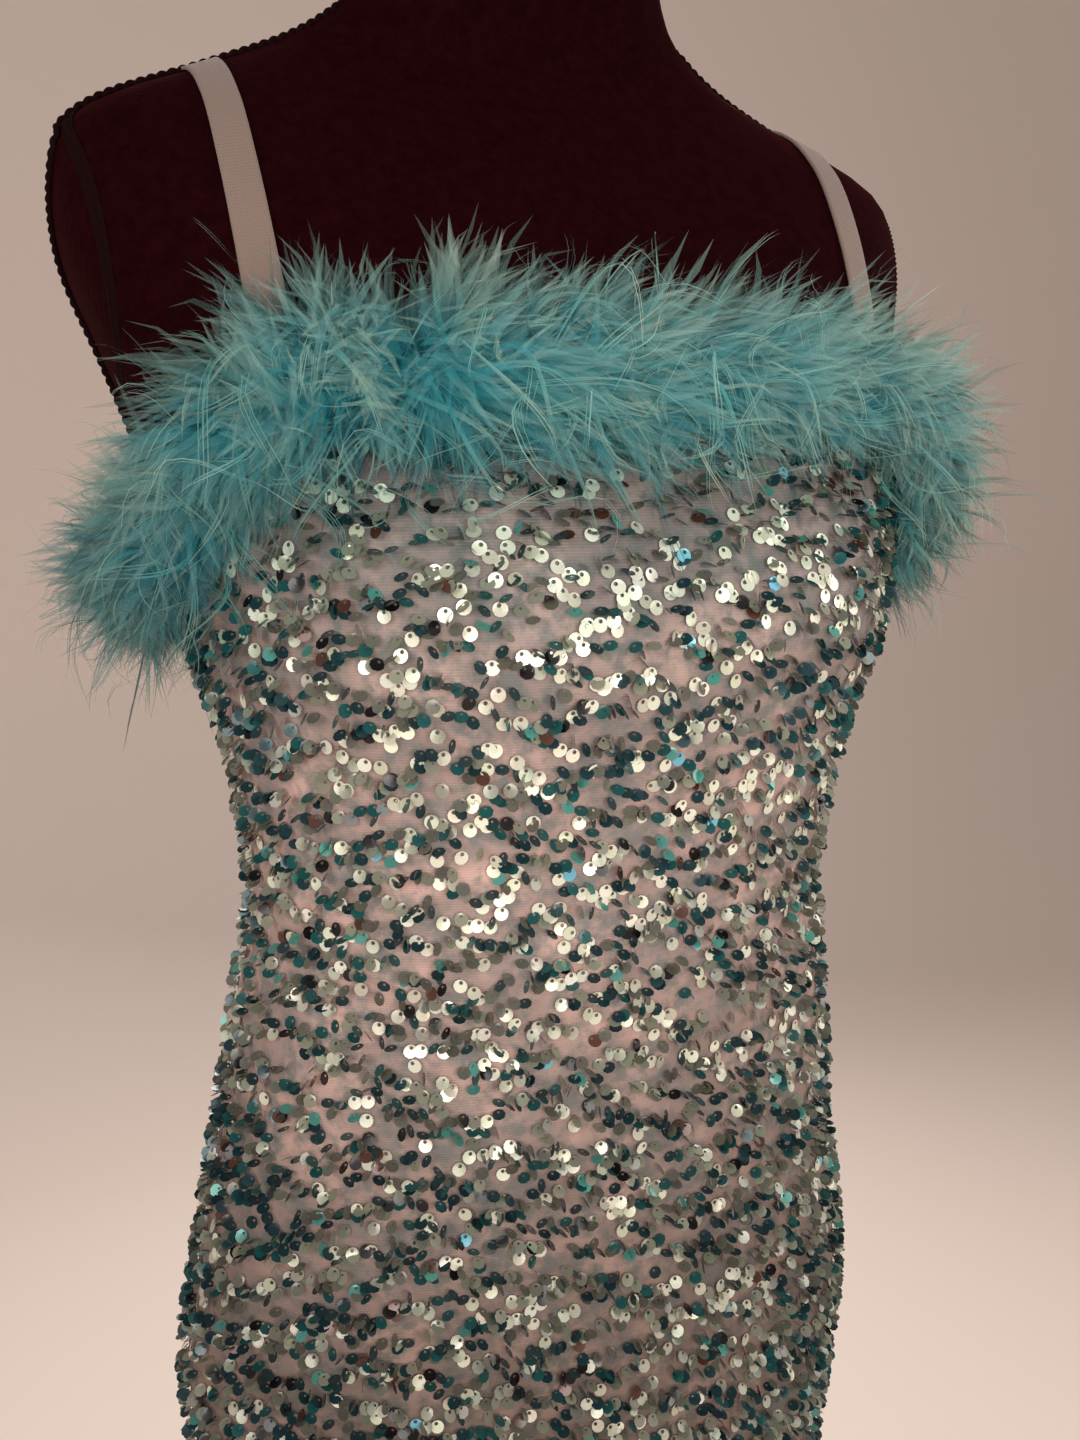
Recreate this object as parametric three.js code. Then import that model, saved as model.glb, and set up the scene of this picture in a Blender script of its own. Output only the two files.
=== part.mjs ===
// Sequin mini dress on a limbless dress form.
// Millimetres, +Z up, front towards -Y. The origin is on the floor, at the centre of the round base.
import * as THREE from 'three';
import { mergeVertices } from 'three/addons/utils/BufferGeometryUtils.js';

// ---- driving dimensions -------------------------------------------------------------------------

const WAIST = 1040; // height of the waist above the floor; every section below is measured from it
const FORM_BOTTOM = -300; // lower end of the torso, from the waist
const NECK_TOP = 452; // upper end of the neck, from the waist
const HEM = -410; // hem of the skirt, from the waist

const WALL = 2.0; // cloth with its backing and sewn sequins
const SEAM_GAP = 0.3; // between pieces that are sewn together
const SEAT_GAP = 0.45; // between curved pieces that lie on each other

const STRAP_WIDTH = 12;
const STRAP_THICK = 1.2;
const STRAP_TUCK = 15; // length of the strap's end behind the top edge

const TAPE_HEIGHT = 18; // tape that carries the feathers
const TAPE_THICK = 3;
const TAPE_DROP = 2; // top of the tape below the cloth's top edge

const POLE_RADIUS = 12.5;
const BASE_RADIUS = 170;
const BASE_THICK = 10;
const BASE_ROUND = 4;

// Sections of the form from the hips to the neck. half is half the width, front, side and back are
// the places in depth of the foremost, widest and rearmost points, square is how boxy the section is.
const FORM_SECTIONS = [
  { height: -410, half: 128, front: -50, side: 14, back: 92, square: 2.2 },
  { height: -300, half: 129, front: -57, side: 14, back: 96, square: 2.2 },
  { height: -250, half: 135, front: -61, side: 14, back: 101, square: 2.2 },
  { height: -200, half: 142, front: -67, side: 14, back: 103, square: 2.2 },
  { height: -150, half: 144, front: -73, side: 12, back: 97, square: 2.2 },
  { height: -100, half: 136, front: -76, side: 8, back: 84, square: 2.2 },
  { height: -50, half: 126, front: -78, side: 2, back: 69, square: 2.2 },
  { height: 0, half: 117, front: -79, side: -4, back: 58, square: 2.2 },
  { height: 50, half: 111, front: -88, side: -10, back: 58, square: 2.2 },
  { height: 100, half: 117, front: -104, side: -10, back: 67, square: 2.2 },
  { height: 150, half: 132, front: -114, side: -8, back: 78, square: 2.3 },
  { height: 200, half: 144, front: -107, side: 0, back: 87, square: 2.4 },
  { height: 245, half: 158, front: -91, side: 10, back: 95, square: 2.6 },
  { height: 285, half: 172, front: -70, side: 18, back: 98, square: 2.8 },
  { height: 310, half: 175, front: -54, side: 22, back: 92, square: 3.0 },
  { height: 326, half: 172, front: -43, side: 24, back: 86, square: 3.0 },
  { height: 338, half: 158, front: -34, side: 24, back: 80, square: 2.8 },
  { height: 352, half: 125, front: -25, side: 22, back: 76, square: 2.6 },
  { height: 366, half: 93, front: -22, side: 18, back: 72, square: 2.4 },
  { height: 380, half: 72, front: -27, side: 13, back: 68, square: 2.2 },
  { height: 400, half: 60, front: -38, side: 8, back: 62, square: 2.1 },
  { height: 430, half: 57, front: -46, side: 4, back: 57, square: 2.0 },
  { height: 470, half: 58, front: -50, side: 0, back: 53, square: 2.0 },
];

// Room between the form and the inside of the cloth.
const EASE = [
  { height: -410, room: 5 },
  { height: -300, room: 4 },
  { height: -200, room: 3 },
  { height: -100, room: 4 },
  { height: -50, room: 5.5 },
  { height: 0, room: 7 },
  { height: 50, room: 6 },
  { height: 100, room: 3.5 },
  { height: 150, room: 2.8 },
  { height: 200, room: 2.7 },
  { height: 260, room: 2.7 },
];

// Bust of the form. The cloth is stretched from one cup to the other and dips only a little between.
const BUST = { apart: 72, height: 158, rise: 10, wide: 42, tall: 46, dip: 0.25 };

// Top edge of the cloth, by the angle round the body from the front centre (0) to the back (180).
const TOP_EDGE = [
  { angle: 0, height: 238 },
  { angle: 30, height: 239 },
  { angle: 50, height: 237 },
  { angle: 58, height: 225 },
  { angle: 66, height: 208 },
  { angle: 78, height: 190 },
  { angle: 90, height: 183 },
  { angle: 130, height: 178 },
  { angle: 180, height: 176 },
];

// Soft creases of the cloth: place of the middle, direction from level, half length, half width, depth.
const CREASES = [
  { angle: -47, height: 152, tilt: 8, long: 46, wide: 13, deep: 1.8 },
  { angle: 44, height: 128, tilt: -10, long: 40, wide: 12, deep: 1.6 },
  { angle: -12, height: 92, tilt: 6, long: 52, wide: 14, deep: 1.6 },
  { angle: 58, height: 38, tilt: 14, long: 55, wide: 14, deep: 3.0 },
  { angle: -66, height: 22, tilt: -12, long: 60, wide: 15, deep: 3.2 },
  { angle: 18, height: -14, tilt: -5, long: 64, wide: 16, deep: 2.6 },
  { angle: -30, height: -62, tilt: 7, long: 50, wide: 15, deep: 2.0 },
  { angle: 70, height: -70, tilt: 10, long: 48, wide: 15, deep: 2.2 },
  { angle: 168, height: 46, tilt: 4, long: 70, wide: 15, deep: 4.0 },
  { angle: -160, height: 4, tilt: -6, long: 66, wide: 16, deep: 4.2 },
  { angle: 128, height: -30, tilt: 12, long: 56, wide: 15, deep: 3.0 },
  { angle: -120, height: 72, tilt: -10, long: 50, wide: 14, deep: 2.6 },
];

// Route of a strap over the shoulder: how far out from the middle it lies, by the share of its way.
const STRAP_ROUTE = [
  { share: 0, out: 113 },
  { share: 0.3, out: 121 },
  { share: 0.5, out: 123 },
  { share: 0.75, out: 112 },
  { share: 1, out: 98 },
];
const SHOULDER_CORE = { y: 20, height: 235 }; // the strap turns round this line inside the shoulder

// Three rows of feather locks on the tape: how steeply they rise from level, and how long they are.
const LOCK_ROWS = [
  { name: 'upper', rise: 52, length: 50 },
  { name: 'middle', rise: 2, length: 42 },
  { name: 'lower', rise: -50, length: 48 },
];
const LOCKS_ROUND = 76;
const LOCK_UNEVEN = 0.22; // share of the length by which locks differ
const LOCK_SWAY = 0.05; // sideways lean of a lock, share of its length
const LOCK_MIDDLE = { along: 0.42, width: 0.66, height: 1.7 }; // where a lock is fullest, and how full

// ---- finishes -----------------------------------------------------------------------------------

const finish = (color, roughness, metalness) => new THREE.MeshStandardMaterial({ color, roughness, metalness });
const SEQUINNED_KNIT = finish(0x8f9a94, 0.45, 0.3);
const ELASTIC = finish(0x94887e, 0.75, 0);
const FEATHER = finish(0x3f98a3, 0.9, 0);
const JERSEY = finish(0x1d090d, 0.85, 0);
const STEEL = finish(0x8c8c8f, 0.35, 0.9);

// ---- smooth values between the rows of a table --------------------------------------------------

const slopeAt = (table, row, key, column) => {
  const before = table[Math.max(row - 1, 0)];
  const after = table[Math.min(row + 1, table.length - 1)];
  return (after[column] - before[column]) / (after[key] - before[key]);
};

const valueAt = (table, key, at, column) => {
  const last = table.length - 1;
  const place = THREE.MathUtils.clamp(at, table[0][key], table[last][key]);
  let row = 0;
  while (row < last - 1 && table[row + 1][key] < place) row += 1;
  const span = table[row + 1][key] - table[row][key];
  const t = (place - table[row][key]) / span;
  const rising = slopeAt(table, row, key, column) * span;
  const falling = slopeAt(table, row + 1, key, column) * span;
  const start = table[row][column];
  const end = table[row + 1][column];
  const blend = t * t * (3 - 2 * t);
  return start + (end - start) * blend + rising * t * (1 - t) ** 2 - falling * t * t * (1 - t);
};

// ---- the two surfaces: the form, and the outside of the cloth on it -----------------------------

const bell = (distance, width) => Math.exp(-((distance / width) ** 2));

const bustRise = (x, height) => {
  const side = Math.abs(x);
  const tall = bell(height - BUST.height, BUST.tall);
  return BUST.rise * tall * (bell(side - BUST.apart, BUST.wide) + bell(side + BUST.apart, BUST.wide));
};

const bridgedRise = (x, height) => {
  const side = Math.abs(x);
  const tall = bell(height - BUST.height, BUST.tall);
  const between = 1 - BUST.dip * (1 - Math.min(side / BUST.apart, 1) ** 2);
  return BUST.rise * tall * between * bell(Math.max(side - BUST.apart, 0), BUST.wide);
};

const sectionPoint = (angle, height, room, rise) => {
  const section = (column) => valueAt(FORM_SECTIONS, 'height', height, column);
  const half = section('half') + room;
  const side = section('side');
  const ahead = Math.cos(angle) > 0;
  const depth = (ahead ? side - section('front') : section('back') - side) + room;
  const power = section('square');
  const across = Math.abs(Math.sin(angle)) / half;
  const along = Math.abs(Math.cos(angle)) / depth;
  const radius = (across ** power + along ** power) ** (-1 / power);
  const x = radius * Math.sin(angle);
  const y = side - radius * Math.cos(angle);
  return new THREE.Vector3(x, ahead ? y - rise(x, height) : y, WAIST + height);
};

const GIRTH_RADIUS = 120; // turns an angle round the body into a length on the cloth

const halfTurned = (angle) => THREE.MathUtils.euclideanModulo(angle + Math.PI, 2 * Math.PI) - Math.PI;

const creaseDepth = (angle, height) => {
  let depth = 0;
  for (const crease of CREASES) {
    const across = halfTurned(angle - THREE.MathUtils.degToRad(crease.angle)) * GIRTH_RADIUS;
    const up = height - crease.height;
    const tilt = THREE.MathUtils.degToRad(crease.tilt);
    const along = across * Math.cos(tilt) + up * Math.sin(tilt);
    const off = up * Math.cos(tilt) - across * Math.sin(tilt);
    depth += crease.deep * bell(along, crease.long) * bell(off, crease.wide);
  }
  return depth;
};

const formSurface = (angle, height) => sectionPoint(angle, height, 0, bustRise);

const clothSurface = (angle, height) => {
  const room = valueAt(EASE, 'height', height, 'room') + WALL - creaseDepth(angle, height);
  return sectionPoint(angle, height, room, bridgedRise);
};

// A point moved out from a surface along its normal.
const TINY_TURN = 0.01;
const TINY_STEP = 1;

const slopes = (surface, angle, height) => ({
  round: surface(angle + TINY_TURN, height).sub(surface(angle - TINY_TURN, height)).divideScalar(2 * TINY_TURN),
  up: surface(angle, height + TINY_STEP).sub(surface(angle, height - TINY_STEP)).divideScalar(2 * TINY_STEP),
});

const normalAt = (surface, angle, height) => {
  const { round, up } = slopes(surface, angle, height);
  return round.cross(up).normalize();
};

const movedOut = (surface, angle, height, out) =>
  surface(angle, height).addScaledVector(normalAt(surface, angle, height), out);

const topEdge = (angle) =>
  valueAt(TOP_EDGE, 'angle', Math.abs(THREE.MathUtils.radToDeg(halfTurned(angle))), 'height');

// ---- closed bodies from rows of points ----------------------------------------------------------

const closedGeometry = (points, faces) => {
  const geometry = new THREE.BufferGeometry();
  geometry.setAttribute('position', new THREE.Float32BufferAttribute(points.flatMap((p) => [p.x, p.y, p.z]), 3));
  geometry.setIndex(faces.flat());
  geometry.computeVertexNormals();
  return geometry;
};

const quad = (a, b, c, d) => [[a, b, c], [a, c, d]];

// A wall between an outer and an inner sheet of rows x columns points, closed all round its rim.
const wallGeometry = (rows, columns, outerAt, innerAt) => {
  const points = [];
  for (const sheet of [outerAt, innerAt]) {
    for (let row = 0; row <= rows; row += 1) {
      for (let column = 0; column <= columns; column += 1) points.push(sheet(row / rows, column / columns));
    }
  }
  const outer = (row, column) => row * (columns + 1) + column;
  const inner = (row, column) => outer(row, column) + (rows + 1) * (columns + 1);
  const faces = [];
  for (let row = 0; row < rows; row += 1) {
    for (let column = 0; column < columns; column += 1) {
      const [r, c] = [row + 1, column + 1];
      faces.push(...quad(outer(row, column), outer(row, c), outer(r, c), outer(r, column)));
      faces.push(...quad(inner(row, column), inner(r, column), inner(r, c), inner(row, c)));
    }
  }
  for (let column = 0; column < columns; column += 1) {
    const c = column + 1;
    faces.push(...quad(inner(0, column), inner(0, c), outer(0, c), outer(0, column)));
    faces.push(...quad(outer(rows, column), outer(rows, c), inner(rows, c), inner(rows, column)));
  }
  for (let row = 0; row < rows; row += 1) {
    const r = row + 1;
    faces.push(...quad(inner(row, 0), outer(row, 0), outer(r, 0), inner(r, 0)));
    faces.push(...quad(outer(row, columns), inner(row, columns), inner(r, columns), outer(r, columns)));
  }
  return closedGeometry(points, faces);
};

// A solid through closed rings of equal counts, lowest first, ending in a point below and above.
const ringedGeometry = (rings, lowest, highest) => {
  const count = rings[0].length;
  const points = [...rings.flat(), lowest, highest];
  const faces = [];
  for (let ring = 0; ring < rings.length - 1; ring += 1) {
    for (let turn = 0; turn < count; turn += 1) {
      const next = (turn + 1) % count;
      const [low, high] = [ring * count, (ring + 1) * count];
      faces.push(...quad(low + turn, low + next, high + next, high + turn));
    }
  }
  const top = (rings.length - 1) * count;
  for (let turn = 0; turn < count; turn += 1) {
    const next = (turn + 1) % count;
    faces.push([points.length - 2, next, turn]);
    faces.push([points.length - 1, top + turn, top + next]);
  }
  return closedGeometry(points, faces);
};

// ---- the dress ----------------------------------------------------------------------------------

const PANEL_ROWS = 26;
const PANEL_COLUMNS = 30;

// A panel runs from one side seam to the other, and from the hem up to the top edge.
const panelGeometry = (middle) => {
  const place = (share, turn) => {
    const seam = Math.PI / 2 - SEAM_GAP / 2 / FORM_SECTIONS[0].half;
    const angle = middle + seam * (2 * turn - 1);
    return [angle, THREE.MathUtils.lerp(HEM, topEdge(angle), share)];
  };
  return wallGeometry(
    PANEL_ROWS,
    PANEL_COLUMNS,
    (share, turn) => clothSurface(...place(share, turn)),
    (share, turn) => movedOut(clothSurface, ...place(share, turn), -WALL),
  );
};

// A strap lies on the form from behind the front top edge, over the shoulder, to the back top edge.
const STRAP_STEPS = 52;
const HALVINGS = 26;
const REACH = 260; // more than the farthest point of the shoulder from its core
const SWING_STEP = 0.004;

// Where a level or rising line from the shoulder's core, swung from the front to the back, leaves the form.
const formHit = (x, swing) => {
  const core = new THREE.Vector3(x, SHOULDER_CORE.y, WAIST + SHOULDER_CORE.height);
  const way = new THREE.Vector3(0, -Math.cos(swing), Math.sin(swing));
  const inside = (distance) => {
    const point = core.clone().addScaledVector(way, distance);
    const height = point.z - WAIST;
    const section = (column) => valueAt(FORM_SECTIONS, 'height', height, column);
    const side = section('side');
    const lift = point.y < side ? bustRise(point.x, height) : 0;
    const depth = point.y < side ? side - section('front') : section('back') - side;
    const power = section('square');
    const across = Math.abs(point.x) / section('half');
    const along = Math.abs(point.y + lift - side) / depth;
    return across ** power + along ** power < 1;
  };
  let near = 0;
  let far = REACH;
  for (let halving = 0; halving < HALVINGS; halving += 1) {
    const middle = (near + far) / 2;
    if (inside(middle)) near = middle;
    else far = middle;
  }
  return core.addScaledVector(way, near);
};

// Swing at which the strap's end is tucked far enough behind the top edge.
const strapEnd = (backward) => {
  const route = STRAP_ROUTE[backward ? STRAP_ROUTE.length - 1 : 0];
  let swing = backward ? Math.PI * 0.75 : Math.PI * 0.25;
  for (;;) {
    const point = formHit(route.out, swing);
    const side = valueAt(FORM_SECTIONS, 'height', point.z - WAIST, 'side');
    const edge = topEdge(Math.atan2(point.x, side - point.y));
    if (point.z - WAIST < edge - STRAP_TUCK) return swing;
    swing += backward ? SWING_STEP : -SWING_STEP;
  }
};

const strapGeometry = (side) => {
  const [first, last] = [strapEnd(false), strapEnd(true)];
  const place = (share, across, out) => {
    const swing = THREE.MathUtils.lerp(first, last, share);
    const middle = valueAt(STRAP_ROUTE, 'share', share, 'out') + (across - 0.5) * side * STRAP_WIDTH;
    const at = (shift, turn) => {
      const point = formHit(middle + shift, swing + turn);
      point.x *= side;
      return point;
    };
    const along = at(0, TINY_TURN).sub(at(0, -TINY_TURN));
    const over = at(TINY_STEP, 0).sub(at(-TINY_STEP, 0));
    const normal = along.cross(over).normalize().multiplyScalar(-side);
    return at(0, 0).addScaledVector(normal, out);
  };
  return wallGeometry(
    STRAP_STEPS,
    2,
    (share, across) => place(share, across, SEAT_GAP + STRAP_THICK),
    (share, across) => place(share, across, SEAT_GAP),
  );
};

// The feather trim: a tape round the outside of the top edge, with a lock on each of its squares.
const unevenness = (column, row) => {
  const wave = Math.sin(column * 12.9898 + row * 78.233) * 43758.5453;
  return wave - Math.floor(wave);
};

const tapePlace = (angle, drop) => {
  // The tape runs at right angles to the top edge, down the cloth.
  const rise = (topEdge(angle + TINY_TURN) - topEdge(angle - TINY_TURN)) / (2 * TINY_TURN);
  const { round, up } = slopes(clothSurface, angle, topEdge(angle));
  const edge = round.clone().addScaledVector(up, rise);
  const share = up.dot(edge) / edge.lengthSq();
  const down = edge.clone().multiplyScalar(share).sub(up);
  const turn = share / down.length();
  const fall = (share * rise - 1) / down.length();
  return { angle: angle + turn * drop, height: topEdge(angle) + fall * drop, down: down.normalize() };
};

const featherTrimGeometry = () => {
  const rows = LOCK_ROWS.length;
  const points = [];
  const faces = [];
  const ring = (row, out) => {
    const first = points.length;
    for (let column = 0; column < LOCKS_ROUND; column += 1) {
      const { angle, height } = tapePlace((column / LOCKS_ROUND) * 2 * Math.PI, TAPE_DROP + (row / rows) * TAPE_HEIGHT);
      points.push(movedOut(clothSurface, angle, height, out));
    }
    return (column) => first + (column % LOCKS_ROUND);
  };
  const outer = Array.from({ length: rows + 1 }, (_, row) => ring(row, SEAT_GAP + TAPE_THICK));
  const inner = Array.from({ length: rows + 1 }, (_, row) => ring(row, SEAT_GAP));
  const lock = (corners, column, row) => {
    const { rise, length } = LOCK_ROWS[row];
    const place = tapePlace(((column + 0.5) / LOCKS_ROUND) * 2 * Math.PI, TAPE_DROP + TAPE_HEIGHT / 2);
    const outwards = normalAt(clothSurface, place.angle, place.height);
    const { down } = place;
    const sideways = outwards.clone().cross(down);
    const pitch = THREE.MathUtils.degToRad(rise);
    const fall = rise < 0 ? slopes(clothSurface, place.angle, place.height).up.normalize().negate() : down;
    const way = outwards.multiplyScalar(Math.cos(pitch)).addScaledVector(fall, -Math.sin(pitch));
    way.addScaledVector(sideways, LOCK_SWAY * (2 * unevenness(column, row + 7) - 1));
    const reach = length * (1 + LOCK_UNEVEN * (2 * unevenness(column, row) - 1));
    const root = corners.reduce((sum, corner) => sum.add(points[corner]), new THREE.Vector3()).divideScalar(4);
    const centre = root.clone().addScaledVector(way, reach * LOCK_MIDDLE.along);
    const middle = corners.map((corner) => {
      const reachOut = points[corner].clone().sub(root);
      const tall = reachOut.dot(down);
      reachOut.multiplyScalar(LOCK_MIDDLE.width);
      points.push(reachOut.addScaledVector(down, tall * (LOCK_MIDDLE.height - LOCK_MIDDLE.width)).add(centre));
      return points.length - 1;
    });
    points.push(root.clone().addScaledVector(way, reach));
    const tip = points.length - 1;
    for (let edge = 0; edge < 4; edge += 1) {
      const next = (edge + 1) % 4;
      faces.push(...quad(corners[edge], corners[next], middle[next], middle[edge]));
      faces.push([middle[edge], middle[next], tip]);
    }
  };
  for (let column = 0; column < LOCKS_ROUND; column += 1) {
    const c = column + 1;
    for (let row = 0; row < rows; row += 1) {
      lock([outer[row + 1](column), outer[row + 1](c), outer[row](c), outer[row](column)], column, row);
      faces.push(...quad(inner[row](column), inner[row](c), inner[row + 1](c), inner[row + 1](column)));
    }
    faces.push(...quad(inner[0](c), inner[0](column), outer[0](column), outer[0](c)));
    faces.push(...quad(inner[rows](column), inner[rows](c), outer[rows](c), outer[rows](column)));
  }
  return closedGeometry(points, faces);
};

// ---- the form and its stand ---------------------------------------------------------------------

const FORM_COLUMNS = 36;
const FORM_RINGS = [
  { from: FORM_BOTTOM, to: 280, count: 19 },
  { from: 295, to: 325, count: 3 },
  { from: 332, to: 380, count: 7 },
  { from: 390, to: NECK_TOP, count: 4 },
];
const NECK_DOME = [
  { up: 4, share: 0.92 },
  { up: 8, share: 0.7 },
  { up: 10, share: 0.36 },
];

const torsoGeometry = () => {
  const ringAt = (height) =>
    Array.from({ length: FORM_COLUMNS }, (_, turn) => formSurface((turn / FORM_COLUMNS) * 2 * Math.PI, height));
  const middle = (ring) =>
    ring.reduce((sum, point) => sum.add(point), new THREE.Vector3()).divideScalar(ring.length);
  const rings = [];
  for (const { from, to, count } of FORM_RINGS) {
    for (let step = 0; step <= count; step += 1) rings.push(ringAt(THREE.MathUtils.lerp(from, to, step / count)));
  }
  const neck = rings.at(-1);
  const axis = middle(neck);
  for (const { up, share } of NECK_DOME) {
    rings.push(neck.map((point) => point.clone().lerp(axis, 1 - share).setZ(axis.z + up)));
  }
  return ringedGeometry(rings, middle(rings[0]), axis.clone().setZ(axis.z + NECK_DOME.at(-1).up + 0.5));
};

const poleGeometry = () => {
  const length = WAIST + FORM_BOTTOM - BASE_THICK - 2 * SEAM_GAP;
  const pole = new THREE.CylinderGeometry(POLE_RADIUS, POLE_RADIUS, length, 24);
  pole.rotateX(Math.PI / 2);
  pole.translate(0, 0, BASE_THICK + SEAM_GAP + length / 2);
  pole.deleteAttribute('normal');
  pole.deleteAttribute('uv');
  return mergeVertices(pole);
};

const baseGeometry = () => {
  const edge = Array.from({ length: 4 }, (_, step) => {
    const turn = (step / 3) * (Math.PI / 2);
    const inset = BASE_ROUND * (1 - Math.cos(turn));
    return new THREE.Vector2(BASE_RADIUS - inset, BASE_THICK - BASE_ROUND + BASE_ROUND * Math.sin(turn));
  });
  const profile = [new THREE.Vector2(0, 0), new THREE.Vector2(BASE_RADIUS, 0), ...edge, new THREE.Vector2(0, BASE_THICK)];
  const base = new THREE.LatheGeometry(profile, 48);
  base.rotateX(Math.PI / 2);
  return base;
};

// ---- assembly -----------------------------------------------------------------------------------

const part = new THREE.Group();

const addPiece = (name, geometry, material) => {
  const piece = new THREE.Mesh(geometry, material);
  piece.name = name;
  part.add(piece);
};

addPiece('front_panel', panelGeometry(0), SEQUINNED_KNIT);
addPiece('back_panel', panelGeometry(Math.PI), SEQUINNED_KNIT);
addPiece('strap_left', strapGeometry(1), ELASTIC);
addPiece('strap_right', strapGeometry(-1), ELASTIC);
addPiece('feather_trim', featherTrimGeometry(), FEATHER);
addPiece('form_torso', torsoGeometry(), JERSEY);
addPiece('stand_pole', poleGeometry(), STEEL);
addPiece('stand_base', baseGeometry(), STEEL);

export default part;
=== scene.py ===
import math

import bmesh
import bpy
import numpy as np
from mathutils import Matrix, Vector


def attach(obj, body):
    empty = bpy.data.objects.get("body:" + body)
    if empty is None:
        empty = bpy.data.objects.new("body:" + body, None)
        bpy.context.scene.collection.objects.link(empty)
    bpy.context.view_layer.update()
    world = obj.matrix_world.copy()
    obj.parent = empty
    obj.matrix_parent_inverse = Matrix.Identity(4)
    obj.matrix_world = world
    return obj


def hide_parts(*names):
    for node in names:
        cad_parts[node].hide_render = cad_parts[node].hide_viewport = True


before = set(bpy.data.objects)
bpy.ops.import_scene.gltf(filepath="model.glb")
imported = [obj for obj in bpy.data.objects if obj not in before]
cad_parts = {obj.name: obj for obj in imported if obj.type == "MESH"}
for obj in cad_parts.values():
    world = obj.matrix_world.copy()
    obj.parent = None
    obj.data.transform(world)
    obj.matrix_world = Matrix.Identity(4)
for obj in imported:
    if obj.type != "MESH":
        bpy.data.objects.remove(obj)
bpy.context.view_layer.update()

# ---- Camera, light and floor ---------------------------------------------------------------------
# The camera stands close in front and a little to the left of the dress, just above the bust, and
# looks slightly down. Wide soft lamps and a pale room light it.

WAIST = 1.040  # height of the waist above the floor
CAMERA_TURN = math.radians(-22.36)
CAMERA_AWAY = 0.527
CAMERA_HEIGHT = WAIST + 0.179
CAMERA_DOWN = math.radians(7.73)
CAMERA_AIM = math.radians(-22.85)
CAMERA_ROLL = math.radians(-0.85)
CAMERA_LENS = 31.78
SENSOR = 36.0

camera_data = bpy.data.cameras.new("camera")
camera_data.sensor_width = SENSOR
camera_data.lens = CAMERA_LENS
camera_data.clip_start = 0.02
camera = bpy.data.objects.new("camera", camera_data)
bpy.context.scene.collection.objects.link(camera)
bpy.context.scene.camera = camera
ahead = Vector((
    -math.sin(CAMERA_AIM) * math.cos(CAMERA_DOWN),
    math.cos(CAMERA_AIM) * math.cos(CAMERA_DOWN),
    -math.sin(CAMERA_DOWN),
))
level = Vector((math.cos(CAMERA_AIM), math.sin(CAMERA_AIM), 0))
upright = level.cross(ahead)
turned = math.cos(CAMERA_ROLL) * level + math.sin(CAMERA_ROLL) * upright
raised = -math.sin(CAMERA_ROLL) * level + math.cos(CAMERA_ROLL) * upright
camera.matrix_world = Matrix((turned, raised, -ahead)).transposed().to_4x4()
camera.location = (CAMERA_AWAY * math.sin(CAMERA_TURN), -CAMERA_AWAY * math.cos(CAMERA_TURN), CAMERA_HEIGHT)

ROOM_LIGHT = 0.335
LAMPS = {
    # name: place, size, watts, colour
    "key_lamp": ((-0.08, -0.8, 1.19), 0.5, 4.0, (1.0, 0.97, 0.91)),
    "fill_lamp": ((-1.8, -1.2, 1.7), 1.4, 22, (1.0, 0.98, 0.94)),
    "side_lamp": ((1.9, -0.7, 1.6), 1.4, 15, (1.0, 0.97, 0.92)),
    "back_lamp": ((0.6, 1.9, 2.0), 1.4, 30, (1.0, 0.97, 0.93)),
}
AIM = Vector((0, 0, 1.2))

world = bpy.data.worlds.new("pale_room")
world.use_nodes = True
world.node_tree.nodes["Background"].inputs["Color"].default_value = (1.0, 0.93, 0.88, 1)
world.node_tree.nodes["Background"].inputs["Strength"].default_value = ROOM_LIGHT
bpy.context.scene.world = world
bpy.context.scene.view_settings.view_transform = "Standard"
for name, (place, size, watts, colour) in LAMPS.items():
    lamp = bpy.data.lights.new(name, "AREA")
    lamp.shape = "DISK"
    lamp.size = size
    lamp.energy = watts
    lamp.color = colour
    lamp_object = bpy.data.objects.new(name, lamp)
    lamp_object.location = place
    lamp_object.visible_camera = False
    lamp_object.rotation_euler = (AIM - Vector(place)).to_track_quat("-Z", "Y").to_euler()
    bpy.context.scene.collection.objects.link(lamp_object)


def plain_material(name, colour, roughness, metallic=0.0):
    material = bpy.data.materials.new(name)
    material.use_nodes = True
    shader = material.node_tree.nodes["Principled BSDF"]
    shader.inputs["Base Color"].default_value = (*colour, 1)
    shader.inputs["Roughness"].default_value = roughness
    shader.inputs["Metallic"].default_value = metallic
    return material


def add_piece(name, mesh, material):
    piece = bpy.data.objects.new(name, mesh)
    bpy.context.scene.collection.objects.link(piece)
    piece.data.materials.append(material)
    return piece


def from_bmesh(name, bm, smooth=True):
    mesh = bpy.data.meshes.new(name)
    for face in bm.faces:
        face.smooth = smooth
    bm.to_mesh(mesh)
    bm.free()
    return mesh


FLOOR_HALF = 14.0
SWEEP = 1.2  # radius of the bend from the floor up to the wall behind
WALL_PLACE = 3.2
WALL_TOP = 12.0
bm = bmesh.new()
edge = [bm.verts.new((-FLOOR_HALF, y, z)) for y, z in (
    [(-FLOOR_HALF, 0)]
    + [
        (WALL_PLACE - SWEEP + SWEEP * math.sin(turn), SWEEP - SWEEP * math.cos(turn))
        for turn in np.linspace(0, math.pi / 2, 17)
    ]
    + [(WALL_PLACE, WALL_TOP)]
)]
run = [bm.edges.new(pair) for pair in zip(edge, edge[1:])]
drawn = bmesh.ops.extrude_edge_only(bm, edges=run)["geom"]
far_edge = [part for part in drawn if isinstance(part, bmesh.types.BMVert)]
bmesh.ops.translate(bm, verts=far_edge, vec=(2 * FLOOR_HALF, 0, 0))
bmesh.ops.recalc_face_normals(bm, faces=bm.faces)
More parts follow.
